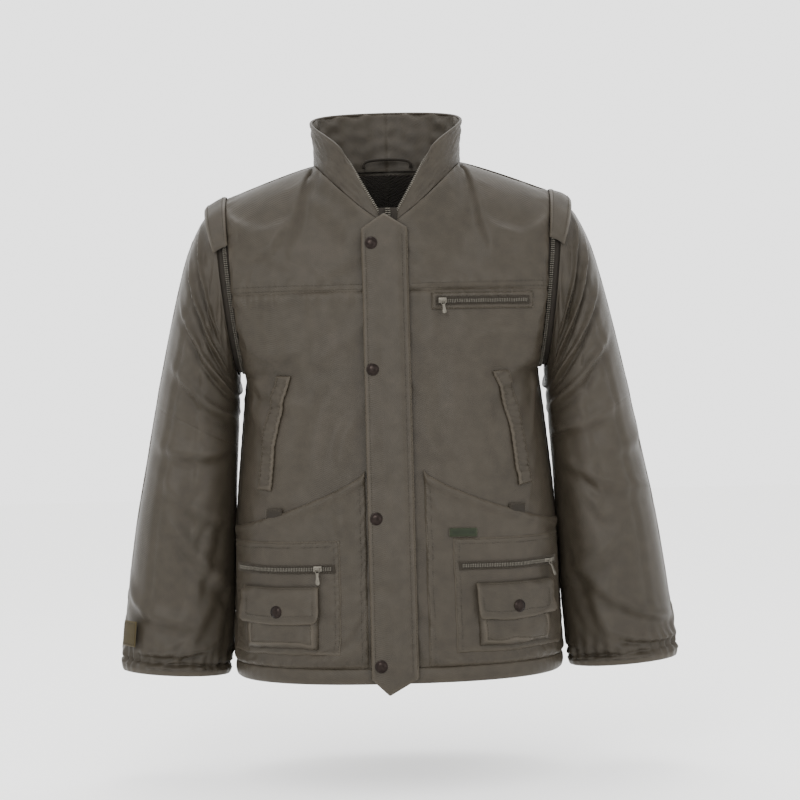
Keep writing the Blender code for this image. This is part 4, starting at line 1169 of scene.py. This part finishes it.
for word, side in sides:
    zipRing, sleeveRing = np.array(armhole["zipRing"]), np.array(armhole["sleeveRing"])
    edge = np.concatenate([shell[side, facing]["p"][:, -1] for facing in (-1, 1)])
    edge = edge[(edge[:, 2] > -0.2925)]
    turn = ringTurn(edge, armhole["zipRing"], side)
    order = np.argsort(turn)
    turns = np.linspace(0, 2 * pi, 120, endpoint=False)
    loop = np.stack([np.interp(turns, turn[order], edge[order, k], period=2 * pi) for k in range(3)], -1)
    zipLine = ringPoint(np.broadcast_to(zipRing, (120, 5)), turns, side)
    middle = zipLine.mean(0)
    inward = unit(middle - zipLine)
    gap = side * 0.0021
    bodyEnd, sleeveStart = zipLine - (gap, 0, 0), zipLine + (gap, 0, 0)
    sleeveLine = ringPoint(np.broadcast_to(sleeveRing, (120, 5)), turns, side) + (side * 0.0085, 0, 0)
    share = np.linspace(0, 1, 8)[:, None, None]
    starts = loop - (side * 0.0075, 0, 0) + inward * 0.0042
    tapes = (("armhole_tape", mix(starts[None], (bodyEnd + inward * 0.0012)[None], share), "root",
              f"armhole_zip_{word}"),
             ("sleeve_zip_tape", mix((sleeveStart + inward * 0.0012)[None],
                                     (sleeveLine + inward * 0.0050)[None], share),
              f"sleeve_zip_{word}", f"sleeve_zip_{word}"))
    for name, p, bodyName, node in tapes:
        p = p - inward[None] * (0.0012 * np.sin(pi * share))
        obj = clothPiece(f"{name}_{word}", p, closed=True, thick=0.0010, centre=(middle[0], 0.0))
        place(obj, bodyName, wovenTape, "zip_tape", node)
        declared(obj, p)
    ringPath = np.concatenate([zipLine, zipLine[:1]])
    for name, bodyName, shift in (("armhole_teeth", "root", -0.0013),
                                  ("sleeve_zip_teeth", f"sleeve_zip_{word}", 0.0013)):
        path = ringPath + (side * shift, 0, 0) - np.concatenate([inward, inward[:1]]) * 0.0006
        row = boxRow(path, -np.concatenate([inward, inward[:1]]), 0.0030, (0.0016, 0.0036, 0.0022))
        place(joined(f"{name}_{word}", [row]), bodyName, antiqueNickel, "zip_metal")
    # shoulder wing: a strip sewn to the body, which covers the zip over the shoulder
    turns, share = np.meshgrid(np.linspace(radians(-66), radians(66), 70), np.linspace(0, 1, 14))
    first = np.array([0.2270, -0.0470, 0.2040, -0.2880, 0.0885])
    last = np.array([0.2575, -0.0630, 0.2215, -0.2970, 0.0885])
    ends = np.clip(np.minimum(turns - radians(-66), radians(66) - turns) / 0.05, 0, 1)
    rim = np.clip(np.minimum(share * 0.03, (1 - share) * 0.03) / 0.003, 0, 1)
    crinkle = 0.0008 * noise(turns * 0.1, share * 0.03, 0.03, 151 + side)
    grow = 0.0064 + 0.0020 * np.sqrt(rim * ends) + 0.0014 * np.sin(pi * share) + crinkle
    wide = 1 - 0.25 * np.clip(np.abs(turns) / radians(66), 0, 1) ** 4
    p = ringPoint(mix(first, last, (share * wide)[..., None]), turns, side, grow)
    obj = clothPiece(f"shoulder_wing_{word}_cloth", p, thick=0.0018,
                     wear=0.55 * bell(np.minimum(share, 1 - share) * 0.03, 0.003),
                     centre=(middle[0], 0.0))
    place(obj, "root", washedTwill, "shell_cloth", f"shoulder_wing_{word}")
    declared(obj, p)
    n = gridNormals(p, (middle[0], 0.0))
    n = n * np.sign((n * (p - middle)).sum(-1, keepdims=True))
    for row in (2, 11):
        sewn("root", p[row, 2:-2], n[row, 2:-2])

# hanger loop: a cord of cloth under the nape
turn = np.linspace(0, pi, 40)
path = np.stack([-0.034 * np.cos(turn), 0.0575 + 0 * turn, 0.0030 + 0.0130 * np.sin(turn) ** 0.35], -1)
loop = tubeAlong("hanger_loop_cord", path, 0.0022, around=12)
place(loop, "root", wovenTape, "trim_cloth", "hanger_loop")

# a small blank patch near the right cuff
level, turn = np.meshgrid(np.linspace(9.0, 8.45, 14), np.radians(np.linspace(28, 50, 16)), indexing="ij")
base = ringPoint(ringAt(level), turn, -1)
n = unit(base - ringPoint(ringAt(level), turn, -1, -0.01))
u, v = (level - 8.45) / 0.55, (turn - turn.min()) / np.ptp(turn)
edge = np.minimum(np.minimum(u, 1 - u) * 0.036, np.minimum(v, 1 - v) * 0.030)
p = base + n * (0.0085 + 0.0008 * np.clip(edge / 0.002, 0, 1))[..., None]
obj = clothPiece("sleeve_patch_cloth", p, thick=0.0016, wear=0.4 * bell(edge, 0.002),
                 centre=(base[..., 0].mean() + 0.02, 0.0))
place(obj, "lower_sleeve_right", goldTwill, "patch_cloth", "sleeve_patch")
declared(obj, base)
for path in (np.s_[1, 1:-1], np.s_[-2, 1:-1], np.s_[1:-1, 1], np.s_[1:-1, -2]):
    sewn("lower_sleeve_right", p[path], n[path])


print("stitches")
def aboveSeam(p, distance):
    up = runLength(p[seamRow:], 0)
    rows = [[np.interp(distance, up[:, c], p[seamRow:, c, k]) for k in range(3)] for c in range(p.shape[1])]
    return np.array(rows)


for p in (shell[-1, -1]["p"], shell[1, -1]["p"], back):
    for distance in (0.0035, 0.0105):
        sewn("root", aboveSeam(p, distance)[3:-3], gridNormals(p)[seamRow + 1, 3:-3])
for bodyName, rows in threads.items():
    place(joined(f"stitches_{bodyName}", rows), bodyName, stitchThread, "trim_cloth")



# floor, light and camera
def areaLight(name, spot, aim, size, power):
    data = bpy.data.lights.new(name, "AREA")
    data.shape, data.size, data.energy = "SQUARE", size, power
    obj = bpy.data.objects.new(name, data)
    obj.location = spot
    obj.rotation_euler = (Vector(aim) - Vector(spot)).to_track_quat("-Z", "Y").to_euler()
    bpy.context.scene.collection.objects.link(obj)


studio = dict(distance=2.4, across=1.136, aim=(0.010, -0.334), roll=1.5, floor=-0.86)
bpy.ops.mesh.primitive_plane_add(size=14, location=(0, 0, studio["floor"]))
floor = bpy.context.object
floor.name = "studio_floor"
floorPaper, _, shader = newMaterial("matt studio paper", Roughness=0.9)
shader.inputs["Base Color"].default_value = linear("#fbfbfa")
floor.data.materials.append(floorPaper)
world = bpy.data.worlds.new("studio")
world.use_nodes = True
world.node_tree.nodes["Background"].inputs[0].default_value = linear("#ffffff")
world.node_tree.nodes["Background"].inputs[1].default_value = 2.5
bpy.context.scene.world = world
areaLight("key", (-0.7, -2.6, 0.9), (0, 0, -0.35), 0.9, 40)
areaLight("fill", (1.6, -2.0, -0.2), (0, 0, -0.4), 1.6, 12)
areaLight("top", (0.0, 0.4, 1.6), (0, 0, -0.3), 1.0, 20)
camera = bpy.data.objects.new("camera", bpy.data.cameras.new("camera"))
camera.data.sensor_width = 36.0
camera.data.lens = 36.0 * studio["distance"] / studio["across"]
camera.location = (studio["aim"][0], -studio["distance"], studio["aim"][1])
camera.rotation_euler = (radians(90), radians(studio["roll"]), 0)
bpy.context.scene.collection.objects.link(camera)
bpy.context.scene.camera = camera
